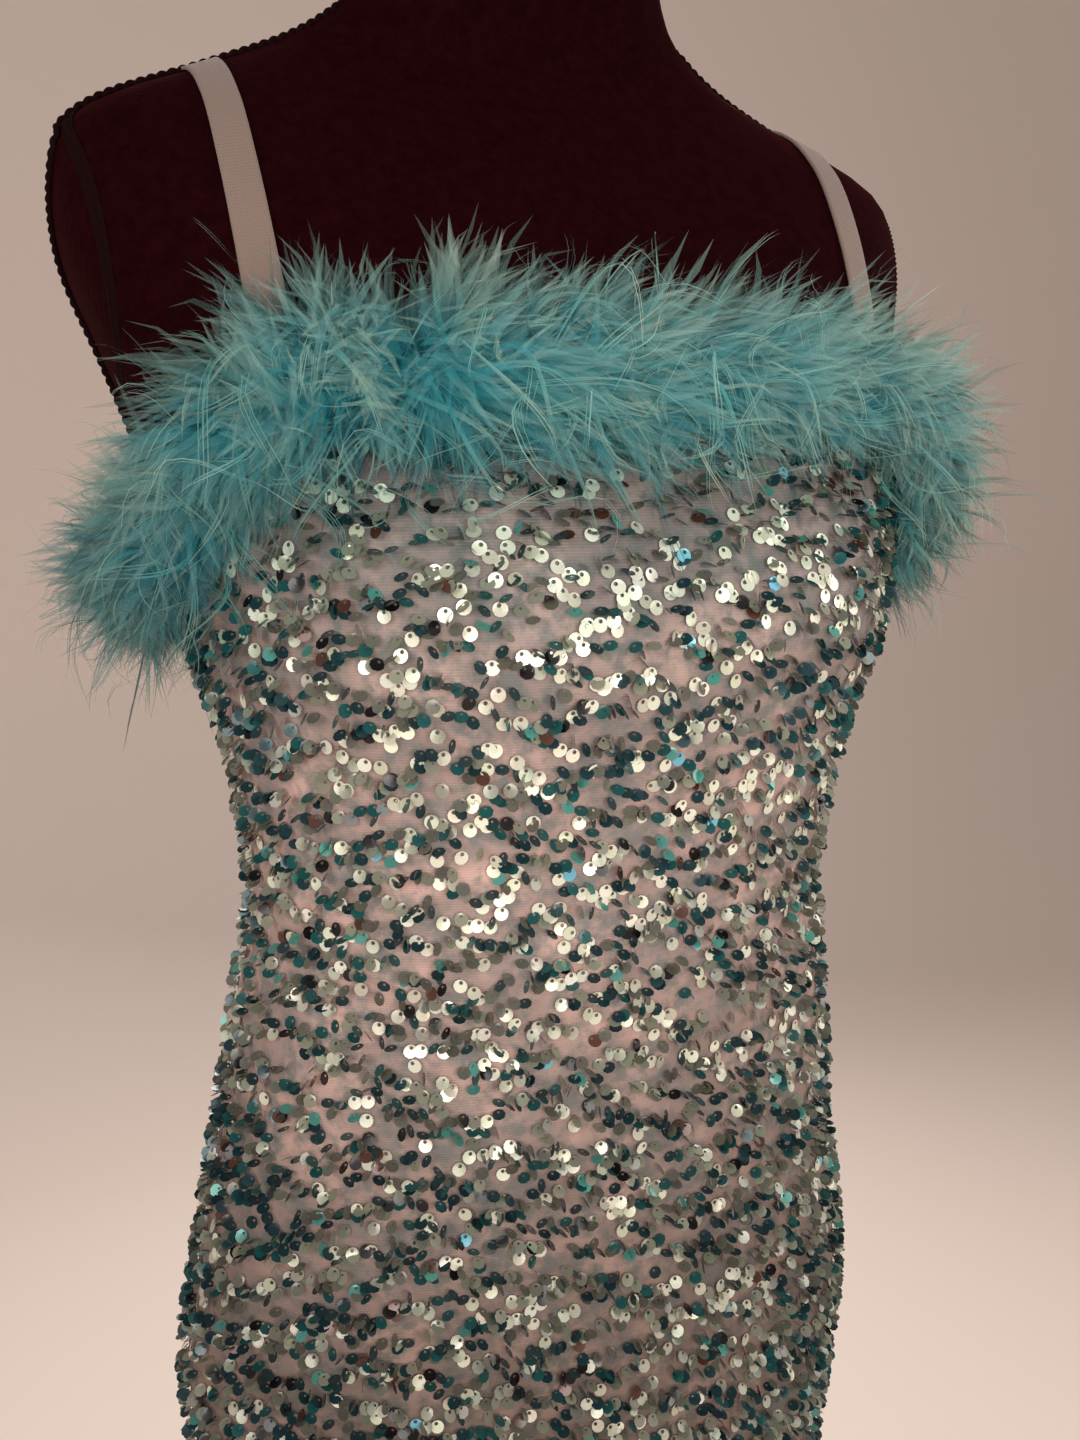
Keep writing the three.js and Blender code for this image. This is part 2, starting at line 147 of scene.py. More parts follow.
floor = add_piece("floor", from_bmesh("floor", bm), plain_material("pale_floor", (0.9, 0.77, 0.7), 0.85))

# ---- Jersey torso of the dress form --------------------------------------------------------------
# A foam torso without limbs, pulled over with a nearly black stretch jersey. The jersey is sewn on
# top of the shoulders and round the arm ends with a thick overlocked seam.

MM = 0.001
# Sections from the hips to the neck: height, half width, front, arm side and back from front to back,
# in millimetres from the waist, and how square they are.
HALF, FRONT, SIDE, BACK, SQUARE = range(1, 6)
FORM_SECTIONS = np.array([
    (-410, 128, -50, 14, 92, 2.2),
    (-300, 129, -57, 14, 96, 2.2),
    (-250, 135, -61, 14, 101, 2.2),
    (-200, 142, -67, 14, 103, 2.2),
    (-150, 144, -73, 12, 97, 2.2),
    (-100, 136, -76, 8, 84, 2.2),
    (-50, 126, -78, 2, 69, 2.2),
    (0, 117, -79, -4, 58, 2.2),
    (50, 111, -88, -10, 58, 2.2),
    (100, 117, -104, -10, 67, 2.2),
    (150, 132, -114, -8, 78, 2.3),
    (200, 144, -107, 0, 87, 2.4),
    (245, 158, -91, 10, 95, 2.6),
    (285, 172, -70, 18, 98, 2.8),
    (310, 175, -54, 22, 92, 3.0),
    (326, 172, -43, 24, 86, 3.0),
    (338, 158, -34, 24, 80, 2.8),
    (352, 125, -25, 22, 76, 2.6),
    (366, 93, -22, 18, 72, 2.4),
    (380, 72, -27, 13, 68, 2.2),
    (400, 60, -38, 8, 62, 2.1),
    (430, 57, -46, 4, 57, 2.0),
    (470, 58, -50, 0, 53, 2.0),
], float)
BUST_APART, BUST_HEIGHT, BUST_RISE, BUST_WIDE, BUST_TALL, BUST_DIP = 72, 158, 10, 42, 46, 0.25


def row_value(table, at, column):
    """The smooth value of a column between the rows of a table, whose first column rises."""
    keys, values = table[:, 0], table[:, column]
    slope = np.gradient(values, keys)
    slope[1:-1] = (values[2:] - values[:-2]) / (keys[2:] - keys[:-2])
    at = np.clip(at, keys[0], keys[-1])
    row = np.clip(np.searchsorted(keys, at, side="right") - 1, 0, len(keys) - 2)
    span = keys[row + 1] - keys[row]
    t = (at - keys[row]) / span
    blend = t * t * (3 - 2 * t)
    bend = slope[row] * t * (1 - t) ** 2 - slope[row + 1] * t * t * (1 - t)
    return values[row] + (values[row + 1] - values[row]) * blend + span * bend


def bell(distance, width):
    return np.exp(-((distance / width) ** 2))


def cup_rise(x, height):
    both = bell(np.abs(x) - BUST_APART, BUST_WIDE) + bell(np.abs(x) + BUST_APART, BUST_WIDE)
    return BUST_RISE * bell(height - BUST_HEIGHT, BUST_TALL) * both


def form_value(height, column):
    return row_value(FORM_SECTIONS, height, column)


def section_sizes(height, in_front):
    """The form's half width, its depth before or behind the arm side, and how square it is."""
    columns = (HALF, FRONT, SIDE, BACK, SQUARE)
    half, front, side, back, power = (form_value(height, column) for column in columns)
    return half, np.where(in_front, side - front, back - side), power


def section_point(angle, height, room, rise):
    """Points round the body, in millimetres: the angle runs from the front centre to the viewer's right."""
    side = form_value(height, SIDE)
    in_front = np.cos(angle) > 0
    half, depth, power = section_sizes(height, in_front)
    across = np.abs(np.sin(angle)) / (half + room)
    along = np.abs(np.cos(angle)) / (depth + room)
    radius = (across ** power + along ** power) ** (-1 / power)
    x = radius * np.sin(angle)
    y = side - radius * np.cos(angle) - np.where(in_front, rise(x, height), 0)
    return np.stack([x, y, WAIST / MM + height + 0 * angle], -1)


def form_surface(angle, height):
    return section_point(angle, height, 0, cup_rise)


def slopes(surface, angle, height):
    """How far a point on a surface moves for each radian round the body and each millimetre up."""
    turn, step = 0.01, 1.0
    around = (surface(angle + turn, height) - surface(angle - turn, height)) / (2 * turn)
    up = (surface(angle, height + step) - surface(angle, height - step)) / (2 * step)
    return around, up


def unit(vectors):
    return vectors / np.maximum(np.linalg.norm(vectors, axis=-1, keepdims=True), 1e-9)


def swung(first, second, turn):
    """The first direction, turned by an angle towards the second."""
    return first * np.cos(turn)[:, None] + second * np.sin(turn)[:, None]


def normal_at(surface, angle, height):
    around, up = slopes(surface, angle, height)
    return unit(np.cross(around, up))


def mapped_grid(name, columns, rows, place, closed=False, mirrored=False):
    """A grid whose corners are set by place(across, up), from shares of 0 to 1, in millimetres."""
    bm = bmesh.new()
    bmesh.ops.create_grid(bm, x_segments=columns, y_segments=rows, size=0.5)
    shares = np.array([vert.co[:2] for vert in bm.verts]) + 0.5
    for vert, point in zip(bm.verts, place(shares[:, 0], shares[:, 1]) * MM):
        vert.co = point
    if closed:
        bmesh.ops.remove_doubles(bm, verts=bm.verts, dist=1e-6)
    if mirrored:
        bmesh.ops.scale(bm, vec=(-1, 1, 1), verts=bm.verts)
        bmesh.ops.reverse_faces(bm, faces=bm.faces)
    return from_bmesh(name, bm)


# Share of the way from the middle of the underside to the top of the neck, height, width of the ring.
TORSO_RUN = np.array([
    (0.000, -300.0, 0.00),
    (0.040, -300.0, 0.97),
    (0.050, -298.0, 1.00),
    (0.930, 452.0, 1.00),
    (0.950, 456.5, 0.95),
    (0.975, 460.5, 0.70),
    (1.000, 462.0, 0.00),
])


def torso_place(across, up):
    height = np.interp(up, TORSO_RUN[:, 0], TORSO_RUN[:, 1])
    width = np.interp(up, TORSO_RUN[:, 0], TORSO_RUN[:, 2])[:, None]
    ring = form_surface((across * 2 - 1) * math.pi, np.clip(height, -300, 452))
    ring[:, 2] = WAIST / MM + height
    axis = np.stack([0 * height, form_value(height, SIDE) + 4, ring[:, 2]], -1)
    return axis + (ring - axis) * width


JERSEY_DARK = (0.0078, 0.0006, 0.0011)
JERSEY_LIT = (0.015, 0.0017, 0.0027)
JERSEY_RIB = 0.0025  # metres from one slanting rib of the jersey to the next


def fill(tree, socket, value):
    """Gives a socket a value, or links it to the output of another node."""
    if isinstance(value, bpy.types.NodeSocket):
        tree.links.new(value, socket)
    elif socket.type == "RGBA":
        socket.default_value = (*value, 1)
    else:
        socket.default_value = value


def fill_all(tree, node, sockets):
    for name, value in sockets.items():
        fill(tree, node.inputs[name.replace("_", " ")], value)


def add_node(tree, kind, **sockets):
    node = tree.nodes.new(kind)
    fill_all(tree, node, sockets)
    return node


def add_math(tree, operation, *values):
    node = tree.nodes.new("ShaderNodeMath")
    node.operation = operation
    for socket, value in zip(node.inputs, values):
        fill(tree, socket, value)
    return node.outputs["Value"]


def add_blend(tree, factor, first, second, how="MIX"):
    """The first colour, turned towards the second or multiplied by it as far as the factor says."""
    mix = tree.nodes.new("ShaderNodeMix")
    mix.data_type = "RGBA"
    mix.blend_type = how
    fill_all(tree, mix, {"Factor": factor, "A": first, "B": second})
    return mix.outputs["Result"]


def add_bump(tree, height, strength, distance):
    bump = add_node(tree, "ShaderNodeBump", Height=height, Strength=strength, Distance=distance)
    return bump.outputs["Normal"]


def add_effect(tree, effect, **sockets):
    node = tree.nodes.new("ShaderNodeGroup")
    node.node_tree = effect
    fill_all(tree, node, sockets)
    return node.outputs[0]


def finish(material, **sockets):
    tree = material.node_tree
    fill_all(tree, tree.nodes["Principled BSDF"], sockets)


def effect_group(name, vectors, numbers, output):
    """A shader group with named inputs, its numbers with their usual values, and one output."""
    group = bpy.data.node_groups.new(name, "ShaderNodeTree")
    for vector in vectors:
        group.interface.new_socket(name=vector, in_out="INPUT", socket_type="NodeSocketVector")
    for number, usual in numbers.items():
        socket = group.interface.new_socket(name=number, in_out="INPUT", socket_type="NodeSocketFloat")
        socket.default_value = usual
    group.interface.new_socket(name=output, in_out="OUTPUT", socket_type="NodeSocketFloat")
    given = group.nodes.new("NodeGroupInput").outputs
    made = group.nodes.new("NodeGroupOutput").inputs
    return group, given, made[output]


# Soft patches where a surface is dyed, worn or raised more than round them, or where painted highlight or
# painted shadow lies on it.
soft_patches, given, made = effect_group(
    "soft_patches",
    ["Place"],
    {"Scale": 100.0, "Detail": 2.0, "Roughness": 0.5, "From": 0.0, "Full": 1.0, "Least": 0.0, "Most": 1.0},
    "Amount",
)
noise = add_node(soft_patches, "ShaderNodeTexNoise", Vector=given["Place"])
fill_all(soft_patches, noise, {name: given[name] for name in ("Scale", "Detail", "Roughness")})
amount = add_node(soft_patches, "ShaderNodeMapRange", Value=noise.outputs["Fac"])
ends = {"From Min": "From", "From Max": "Full", "To Min": "Least", "To Max": "Most"}
fill_all(soft_patches, amount, {end: given[name] for end, name in ends.items()})
soft_patches.links.new(amount.outputs["Result"], made)

# Rounded ribs of thread across a direction, whose length is the turn of their wave for each metre.
thread_ribs, given, made = effect_group(
    "thread_ribs", ["Place", "Direction"], {"Waver": 1.0, "Waver Scale": 100.0}, "Height"
)
run = thread_ribs.nodes.new("ShaderNodeVectorMath")
run.operation = "DOT_PRODUCT"
thread_ribs.links.new(given["Place"], run.inputs[0])
thread_ribs.links.new(given["Direction"], run.inputs[1])
noise = add_node(thread_ribs, "ShaderNodeTexNoise", Vector=given["Place"], Scale=given["Waver Scale"])
waver = add_math(thread_ribs, "MULTIPLY_ADD", noise.outputs["Fac"], 2.0, -1.0)
turn = add_math(thread_ribs, "MULTIPLY_ADD", waver, given["Waver"], run.outputs["Value"])
wave = add_math(thread_ribs, "COSINE", turn)
thread_ribs.links.new(add_math(thread_ribs, "MULTIPLY_ADD", wave, -0.5, 0.5), made)

jersey = plain_material("stretch_jersey", JERSEY_DARK, 0.78)
tree = jersey.node_tree
place = add_node(tree, "ShaderNodeTexCoord").outputs["Object"]
slant = [2 * math.pi / JERSEY_RIB / math.sqrt(3)] * 3
wales = add_effect(tree, thread_ribs, Place=place, Direction=slant, Waver=1.2, Waver_Scale=868.0)
grain = add_effect(tree, soft_patches, Place=place, Scale=420.0, Detail=3.0)
mottle = add_effect(
    tree, soft_patches, Place=place, Scale=170.0, Detail=8.0, Roughness=0.8, From=0.36, Full=0.64
)
finish(
    jersey,
    Base_Color=add_blend(tree, mottle, JERSEY_DARK, JERSEY_LIT),
    Sheen_Weight=0.04,
    Sheen_Roughness=0.4,
    Sheen_Tint=(0.6, 0.06, 0.1),
    Specular_IOR_Level=0.012,
    Normal=add_bump(tree, add_math(tree, "ADD", wales, grain), 0.25, 0.0003),
)

torso = add_piece("jersey_torso", mapped_grid("jersey_torso", 96, 120, torso_place, closed=True), jersey)
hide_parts("form_torso")
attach(torso, "root")

# A thick overlocked seam runs like a rope over each shoulder and on down the arm side. A flat
# seam of two rows of loops sews the round plate over each arm end.
SHOULDER_Y, SHOULDER_HEIGHT = 20, 235  # a middle inside the shoulder, from which lines swing over it
SHOULDER_REACH = 260
RIDGE_SWING = math.radians(82)
RIDGE_NECK, RIDGE_TIP = 68, 171  # how far out the shoulder seam starts and ends
RIDGE_LOW = 190  # height at which the dress hides the seam
RIDGE_TURN, RIDGE_BACK = math.radians(82), math.radians(13)
RIDGE_RADIUS, RIDGE_LOOP = 1.25, 3.9
PLATE_MIDDLE, PLATE_TURN = math.radians(96), math.radians(21.5)
PLATE_HEIGHT, PLATE_TALL, PLATE_BAND = 286, 54, 5.2
PLATE_LOOPS = 150


def form_hit(x, swing):
    """Where a line that swings about the middle of the shoulder, from front to back, leaves the form."""
    near, far = 0 * swing, 0 * swing + SHOULDER_REACH
    for _ in range(26):
        middle = (near + far) / 2
        y = SHOULDER_Y - middle * np.cos(swing)
        height = SHOULDER_HEIGHT + middle * np.sin(swing)
        side = form_value(height, SIDE)
        lift = np.where(y < side, cup_rise(x, height), 0)
        half, depth, power = section_sizes(height, y < side)
        inside = (np.abs(x) / half) ** power + (np.abs(y + lift - side) / depth) ** power < 1
        near, far = np.where(inside, middle, near), np.where(inside, far, middle)
    y = SHOULDER_Y - near * np.cos(swing)
    return np.stack([x + 0 * swing, y, WAIST / MM + SHOULDER_HEIGHT + near * np.sin(swing)], -1)


def section_angle(points):
    height = points[..., 2] - WAIST / MM
    side = form_value(height, SIDE)
    return np.arctan2(points[..., 0], side - points[..., 1]), height


def run_along(path):
    """How far along a path each of its points lies."""
    return np.r_[0, np.cumsum(np.linalg.norm(np.diff(path, axis=0), axis=1))]


def along_path(path, share):
    run = run_along(path)
    return np.stack([np.interp(share * run[-1], run, path[:, axis]) for axis in range(3)], -1)


out = np.linspace(RIDGE_NECK, RIDGE_TIP, 60)
over = form_hit(out, RIDGE_SWING + 0 * out)
drop = np.linspace(over[-1, 2] - WAIST / MM - 2, RIDGE_LOW, 60)
fall = np.clip((drop[0] - drop) / (drop[0] - 270), 0, 1)
back_share = fall * fall * (3 - 2 * fall)
ridge = np.concatenate([over, form_surface(RIDGE_TURN + RIDGE_BACK * back_share, drop)])
RIDGE_LOOPS = int(run_along(ridge)[-1] / RIDGE_LOOP)


def ridge_place(across, up):
    centre = along_path(ridge, up)
    outward = normal_at(form_surface, *section_angle(centre))
    along = along_path(ridge, up + 0.01) - along_path(ridge, up - 0.01)
    sideways = unit(np.cross(unit(along), outward))
    turn = across * 2 * math.pi
    beads = 0.66 + 0.6 * np.abs(np.sin(turn * 0.5 - up * RIDGE_LOOPS * math.pi)) + 0.1 * np.cos(turn)
    ends = np.sqrt(np.clip(np.minimum(up, 1 - up) * 40, 0, 1))
    swell = RIDGE_RADIUS * beads * ends
    ring = swung(outward, sideways, turn) * swell[:, None]
    return centre + outward * 0.4 * RIDGE_RADIUS * ends[:, None] + ring


def plate_place(across, up):
    turn = up * 2 * math.pi
    size = 1 + (0.5 - across) * PLATE_BAND / PLATE_TALL
    angle = PLATE_MIDDLE - PLATE_TURN * size * np.cos(turn)
    height = PLATE_HEIGHT + PLATE_TALL * size * np.sin(turn)
    loops = np.cos(up * PLATE_LOOPS * 2 * math.pi + math.pi * (across > 0.5))
    lift = 0.7 * np.sin(across * 2 * math.pi) ** 2 * (0.55 + 0.45 * loops) - 0.05
    return form_surface(angle, height) + normal_at(form_surface, angle, height) * lift[:, None]


seam_thread = plain_material("seam_thread", (0.0085, 0.0018, 0.0024), 0.7)
finish(seam_thread, Specular_IOR_Level=0.03)
for word, mirrored in (("left", False), ("right", True)):
    for name, place, rows in (
        (f"jersey_shoulder_seam_{word}", ridge_place, RIDGE_LOOPS * 7),
        (f"jersey_plate_seam_{word}", plate_place, PLATE_LOOPS * 3),
    ):
        mesh = mapped_grid(name, 8, rows, place, closed=True, mirrored=mirrored)
        seam = add_piece(name, mesh, seam_thread)
        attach(seam, "root")

# ---- Stand ---------------------------------------------------------------------------------------
# A satin steel tube on a heavy round plate. Both keep the shapes of the frame and get a brushed
# finish with faint scuffs.

STEEL = (0.46, 0.46, 0.47)
steel = plain_material("satin_steel", STEEL, 0.36, metallic=0.9)
tree = steel.node_tree
place = add_node(tree, "ShaderNodeTexCoord").outputs["Object"]
scuffs = add_effect(
    tree, soft_patches, Place=place, Scale=38.0, Detail=6.0, Roughness=0.7, Least=0.26, Most=0.5
)
brushing = add_effect(tree, soft_patches, Place=place, Scale=900.0)
finish(steel, Roughness=scuffs, Normal=add_bump(tree, brushing, 0.15, 0.0002))
for node in ("stand_pole", "stand_base"):
    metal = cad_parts[node]
    metal.data.materials.clear()
    metal.data.materials.append(steel)

# ---- Front and back of the dress -----------------------------------------------------------------
# A pinkish mauve rib knit, stretched over the form and sewn at the sides. Each panel is one thin
# sheet with soft drag creases, as the knit pulls from bust to waist and bunches in the back.

HEM = -410
WALL = 2.0
CLOTH_THICK = 0.0009
EASE = np.array([
    (-410, 5), (-300, 4), (-200, 3), (-100, 4), (-50, 5.5), (0, 7), (50, 6), (100, 3.5), (150, 2.8),
    (200, 2.7), (260, 2.7),
], float)
# Top edge by degrees from the front centre.
TOP_EDGE = np.array([
    (0, 238), (30, 239), (50, 237), (58, 225), (66, 208), (78, 190), (90, 183), (130, 178), (180, 176),
], float)
# Creases: degrees round, height, tilt in degrees, half length, half width and depth in millimetres.
CREASES = (
    (-47, 152, 8, 46, 13, 1.8), (44, 128, -10, 40, 12, 1.6), (-12, 92, 6, 52, 14, 1.6),
    (58, 38, 14, 55, 14, 3.0), (-66, 22, -12, 60, 15, 3.2), (18, -14, -5, 64, 16, 2.6),
    (-30, -62, 7, 50, 15, 2.0), (70, -70, 10, 48, 15, 2.2), (168, 46, 4, 70, 15, 4.0),
    (-160, 4, -6, 66, 16, 4.2), (128, -30, 12, 56, 15, 3.0), (-120, 72, -10, 50, 14, 2.6),
    # finer ones, only in the cloth
    (-58, 160, 12, 30, 4.0, 1.3), (-52, 147, 6, 26, 3.5, 1.0), (-38, 140, 16, 22, 3.5, 0.8),
    (-4, 168, 62, 16, 3.2, 0.9), (3, 158, 70, 20, 3.0, 0.8), (-14, 172, 50, 14, 3.0, 0.7),
    (30, 60, -20, 34, 5.0, 0.9), (-24, 48, 14, 38, 5.0, 1.0), (8, 12, 4, 44, 5.5, 1.1),
    (-50, -8, -12, 36, 5.0, 1.2), (46, -22, 16, 40, 5.0, 1.1), (76, 10, 10, 34, 5.0, 1.3),
    (-84, 40, -8, 34, 5.0, 1.2), (150, 24, 6, 46, 6.0, 1.6), (-146, 60, -5, 50, 6.0, 1.5),
    (178, -16, 2, 52, 6.0, 1.7), (110, 60, 12, 36, 5.0, 1.2), (-100, -20, -14, 36, 5.0, 1.2),
)
GIRTH_RADIUS = 120


def half_turned(angle):
    return np.mod(angle + math.pi, 2 * math.pi) - math.pi


def crease_depth(angle, height):
    depth = 0
    for degrees, middle, tilt, long, wide, deep in CREASES:
        across = half_turned(angle - math.radians(degrees)) * GIRTH_RADIUS
        up = height - middle
        lean = math.radians(tilt)
        along = across * math.cos(lean) + up * math.sin(lean)
        off = up * math.cos(lean) - across * math.sin(lean)
        depth = depth + deep * bell(along, long) * bell(off, wide)
    return depth


def bridged_rise(x, height):
    between = 1 - BUST_DIP * (1 - np.minimum(np.abs(x) / BUST_APART, 1)) ** 2
    past = bell(np.maximum(np.abs(x) - BUST_APART, 0), BUST_WIDE)
    return BUST_RISE * bell(height - BUST_HEIGHT, BUST_TALL) * between * past


def cloth_surface(angle, height):
    room = row_value(EASE, height, 1) + WALL - crease_depth(angle, height)
    return section_point(angle, height, room, bridged_rise)


def top_edge(angle):
    return row_value(TOP_EDGE, np.abs(np.degrees(half_turned(angle))), 1)


KNIT_SHEEN_PINK = (0.6, 0.385, 0.335)
KNIT_MAUVE = (0.36, 0.25, 0.225)
KNIT_SHADOW_TEAL = (0.17, 0.175, 0.165)
KNIT_GROOVE_SHADE = (0.9, 0.89, 0.89)  # painted shade: what the colour is multiplied by between the ribs
KNIT_RIB = 0.000987  # metres from one rib of the knit to the next
# Heights where painted shade on the knit starts and where it is deepest, and what its colour is multiplied
# by
# there: painted shade below the waist, and painted teal shade under the feathers.
KNIT_PAINTED_SHADE = ((1.08, 0.9, (0.46, 0.445, 0.415)), (1.13, 1.23, (0.54, 0.66, 0.68)))

knit = plain_material("rib_knit", KNIT_MAUVE, 0.62)
tree = knit.node_tree
place = add_node(tree, "ShaderNodeTexCoord").outputs["Object"]
ribs = add_effect(
    tree, thread_ribs, Place=place, Direction=(0, 0, 2 * math.pi / KNIT_RIB), Waver=1.6, Waver_Scale=955.0
)
# Painted highlight: pink patches of sheen on the knit.
shine = add_effect(
    tree, soft_patches, Place=place, Scale=34.0, Detail=3.0, Roughness=0.6, From=0.46, Full=0.68
)
# Painted shadow: grey teal patches where the sequins shade the knit.
sequin_shadow_patches = {"Scale": 120.0, "Detail": 4.0, "Roughness": 0.65, "From": 0.43, "Full": 0.62, "Most": 0.85}
cast = add_effect(tree, soft_patches, Place=place, **sequin_shadow_patches)
# Painted shade in the grooves between the ribs.
groove_shade = add_node(tree, "ShaderNodeMapRange", Value=ribs, From_Min=0.35, From_Max=0.05).outputs["Result"]
tone = add_blend(tree, shine, KNIT_MAUVE, KNIT_SHEEN_PINK)
tone = add_blend(tree, cast, tone, KNIT_SHADOW_TEAL)
tone = add_blend(tree, groove_shade, tone, KNIT_GROOVE_SHADE, "MULTIPLY")
rise = add_node(tree, "ShaderNodeSeparateXYZ", Vector=place).outputs["Z"]
for start, full, shade_colour in KNIT_PAINTED_SHADE:
    share = add_node(tree, "ShaderNodeMapRange", Value=rise, From_Min=start, From_Max=full)
    tone = add_blend(tree, share.outputs["Result"], tone, shade_colour, "MULTIPLY")
finish(
    knit,
    Base_Color=tone,
    Sheen_Weight=0.35,
    Sheen_Roughness=0.35,
    Sheen_Tint=(1.0, 0.72, 0.64),
    Normal=add_bump(tree, ribs, 0.3, 0.0002),
)


def thicken(piece, kind, thickness, offset=-1):
    wall = piece.modifiers.new(kind, "SOLIDIFY")
    wall.thickness = thickness
    wall.offset = offset


SEAM = 0.3
PANEL_TURN = math.pi / 2 - SEAM / 2 / FORM_SECTIONS[0, HALF]
PANELS = {}
for word, middle, flat, area in (("front", 0, (0.46, 0.65), 0.272), ("back", math.pi, (0.45, 0.60), 0.248)):

    def panel_place(across, up):
        angle = middle + PANEL_TURN * (2 * across - 1)
        height = HEM + (top_edge(angle) - HEM) * up
        return cloth_surface(angle, height)

    name = f"knit_{word}"
    panel = add_piece(name, mapped_grid(name, 80, 112, panel_place), knit)
    thicken(panel, "cloth", CLOTH_THICK)
    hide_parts(f"{word}_panel")
    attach(panel, "root")
    PANELS[word] = (panel, flat, area)

# ---- Straps --------------------------------------------------------------------------------------
# Flat woven elastic, 12 mm wide, sewn inside the top edge in front and behind. It lies stretched on
# the shoulder and has fine ribs along its length.

STRAP_WIDTH, STRAP_THICK, STRAP_GAP, STRAP_TUCK = 12, 1.1, 0.45, 15
STRAP_ROUTE = np.array([(0, 113), (0.3, 121), (0.5, 123), (0.75, 112), (1, 98)], float)


def strap_end(row, swing, step):
    out = np.array([STRAP_ROUTE[row, 1]])
    while True:
        point = form_hit(out, np.array([swing]))[0]
        height = point[2] - WAIST / MM
        side = form_value(height, SIDE)
        if height < top_edge(math.atan2(point[0], side - point[1])) - STRAP_TUCK:
            return swing
        swing += step


ELASTIC = (0.225, 0.15, 0.122)
# Painted shade: the elastic is darker in the grooves between its ribs.
ELASTIC_GROOVE_SHADE = (0.2, 0.132, 0.108)
# Ribs side by side, and threads across them from end to end, as turns of their waves.
ELASTIC_RIBS, ELASTIC_PICKS = 2 * math.pi * 13.4, 2 * math.pi * 350
elastic = plain_material("woven_elastic", ELASTIC, 0.7)
tree = elastic.node_tree
threads = tree.nodes.new("ShaderNodeUVMap")
threads.uv_map = "length"
uv = threads.outputs["UV"]
lines = add_effect(tree, thread_ribs, Place=uv, Direction=(ELASTIC_RIBS, 0, 0), Waver=0.4, Waver_Scale=4.2)
picks = add_effect(tree, thread_ribs, Place=uv, Direction=(0, ELASTIC_PICKS, 0), Waver=0.6, Waver_Scale=110)
finish(
    elastic,
    Base_Color=add_blend(tree, lines, ELASTIC_GROOVE_SHADE, ELASTIC),
    Sheen_Weight=0.2,
    Normal=add_bump(tree, add_math(tree, "ADD", lines, picks), 0.35, 0.0003),
)

FIRST_SWING = strap_end(0, math.pi * 0.25, -0.004)
LAST_SWING = strap_end(-1, math.pi * 0.75, 0.004)
STRAP_COLUMNS, STRAP_ROWS = 8, 130
for word, side in (("left", 1), ("right", -1)):

    def strap_place(across, up):
        swing = FIRST_SWING + (LAST_SWING - FIRST_SWING) * up
        middle = row_value(STRAP_ROUTE, up, 1) + (across - 0.5) * side * STRAP_WIDTH
        mirror = np.array([side, 1, 1])
        along = form_hit(middle, swing + 0.01) - form_hit(middle, swing - 0.01)
        over = form_hit(middle + 1, swing) - form_hit(middle - 1, swing)
        normal = unit(np.cross(over, along))
        return (form_hit(middle, swing) + normal * (STRAP_GAP + STRAP_THICK)) * mirror

    name = f"elastic_{word}"
    mesh = mapped_grid(name, STRAP_COLUMNS, STRAP_ROWS, strap_place)
    uv = mesh.uv_layers.new(name="length")
    bm = bmesh.new()
    bmesh.ops.create_grid(bm, x_segments=STRAP_COLUMNS, y_segments=STRAP_ROWS, size=0.5)
    grid = np.array([vert.co[:2] for vert in bm.verts]) + 0.5
    bm.free()
    corners = np.empty(len(mesh.loops), np.int32)
    mesh.loops.foreach_get("vertex_index", corners)
    uv.data.foreach_set("uv", grid[corners].astype(np.float32).ravel())
    strap = add_piece(name, mesh, elastic)
    thicken(strap, "webbing", STRAP_THICK * MM)
    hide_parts(f"strap_{word}")
    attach(strap, "root")

# ---- Sequins -------------------------------------------------------------------------------------
# Flat 5 mm sequins with the hole near their upper edge. Each hangs by one clear thread from a row
# of stitches that wanders across the knit, so that they overlap and tilt every way.

SEQUIN_RADIUS = 2.5
HOLE_RADIUS, HOLE_EDGE = 0.62, 0.95
HOLE_OFF = 1.25  # from the middle of the sequin to its hole
SEQUIN_DISH = 0.16
# Height, and the way from one row to the next there.
ROW_STEPS = ((-410, 4.6), (-90, 4.7), (0, 5.0), (150, 4.9), (175, 4.1), (245, 3.9))
SEQUIN_STEP = 3.75
GAP_SHARE, GAP_LEAST, GAP_MOST = 0.2, 2.0, 7.0
ROW_WAVES = ((58, 3.7), (24, 2.6), (10, 1.1))  # length and height of a row's waves
SEQUIN_SEED = 7
# From the brightest to the darkest: share in the light, share away from it, more close to the trim,
# more low on the right, red, green, blue, least tilt and most tilt in degrees. The colours are partly
# painted light: the bright flat ones stand for light reflected towards the room, and the dark ones
# that tilt most stand for painted shade.
SEQUIN_LOOKS = (
    (0.012, 0.006, 0.02, 0.00, 0.20, 0.56, 0.70, 2, 16),
    (0.20, 0.045, 0.00, 0.00, 0.88, 0.87, 0.71, 0, 14),
    (0.09, 0.075, 0.00, 0.05, 0.60, 0.58, 0.46, 6, 28),
    (0.025, 0.025, 0.07, 0.00, 0.09, 0.33, 0.28, 34, 66),
    (0.15, 0.21, 0.00, 0.30, 0.29, 0.29, 0.22, 28, 62),
    (0.11, 0.20, 0.00, 0.20, 0.15, 0.145, 0.115, 36, 70),
    (0.11, 0.14, 0.12, 0.00, 0.014, 0.10, 0.10, 50, 76),
    (0.24, 0.25, 0.14, 0.00, 0.013, 0.046, 0.055, 50, 77),
    (0.012, 0.02, 0.00, 0.00, 0.09, 0.032, 0.02, 10, 50),
    (0.055, 0.06, 0.00, 0.00, 0.006, 0.005, 0.006, 10, 64),
)
FACING_TILT = math.radians(34)  # sequins that tilt more than this need fewer corners


def shape_parts(bm):
    """Corners and triangles of one small shape that is repeated."""
    bm.verts.index_update()
    corners = np.array([vert.co[:] for vert in bm.verts])
    triangles = np.array([[vert.index for vert in face.verts] for face in bm.faces])
    bm.free()
    return corners, triangles


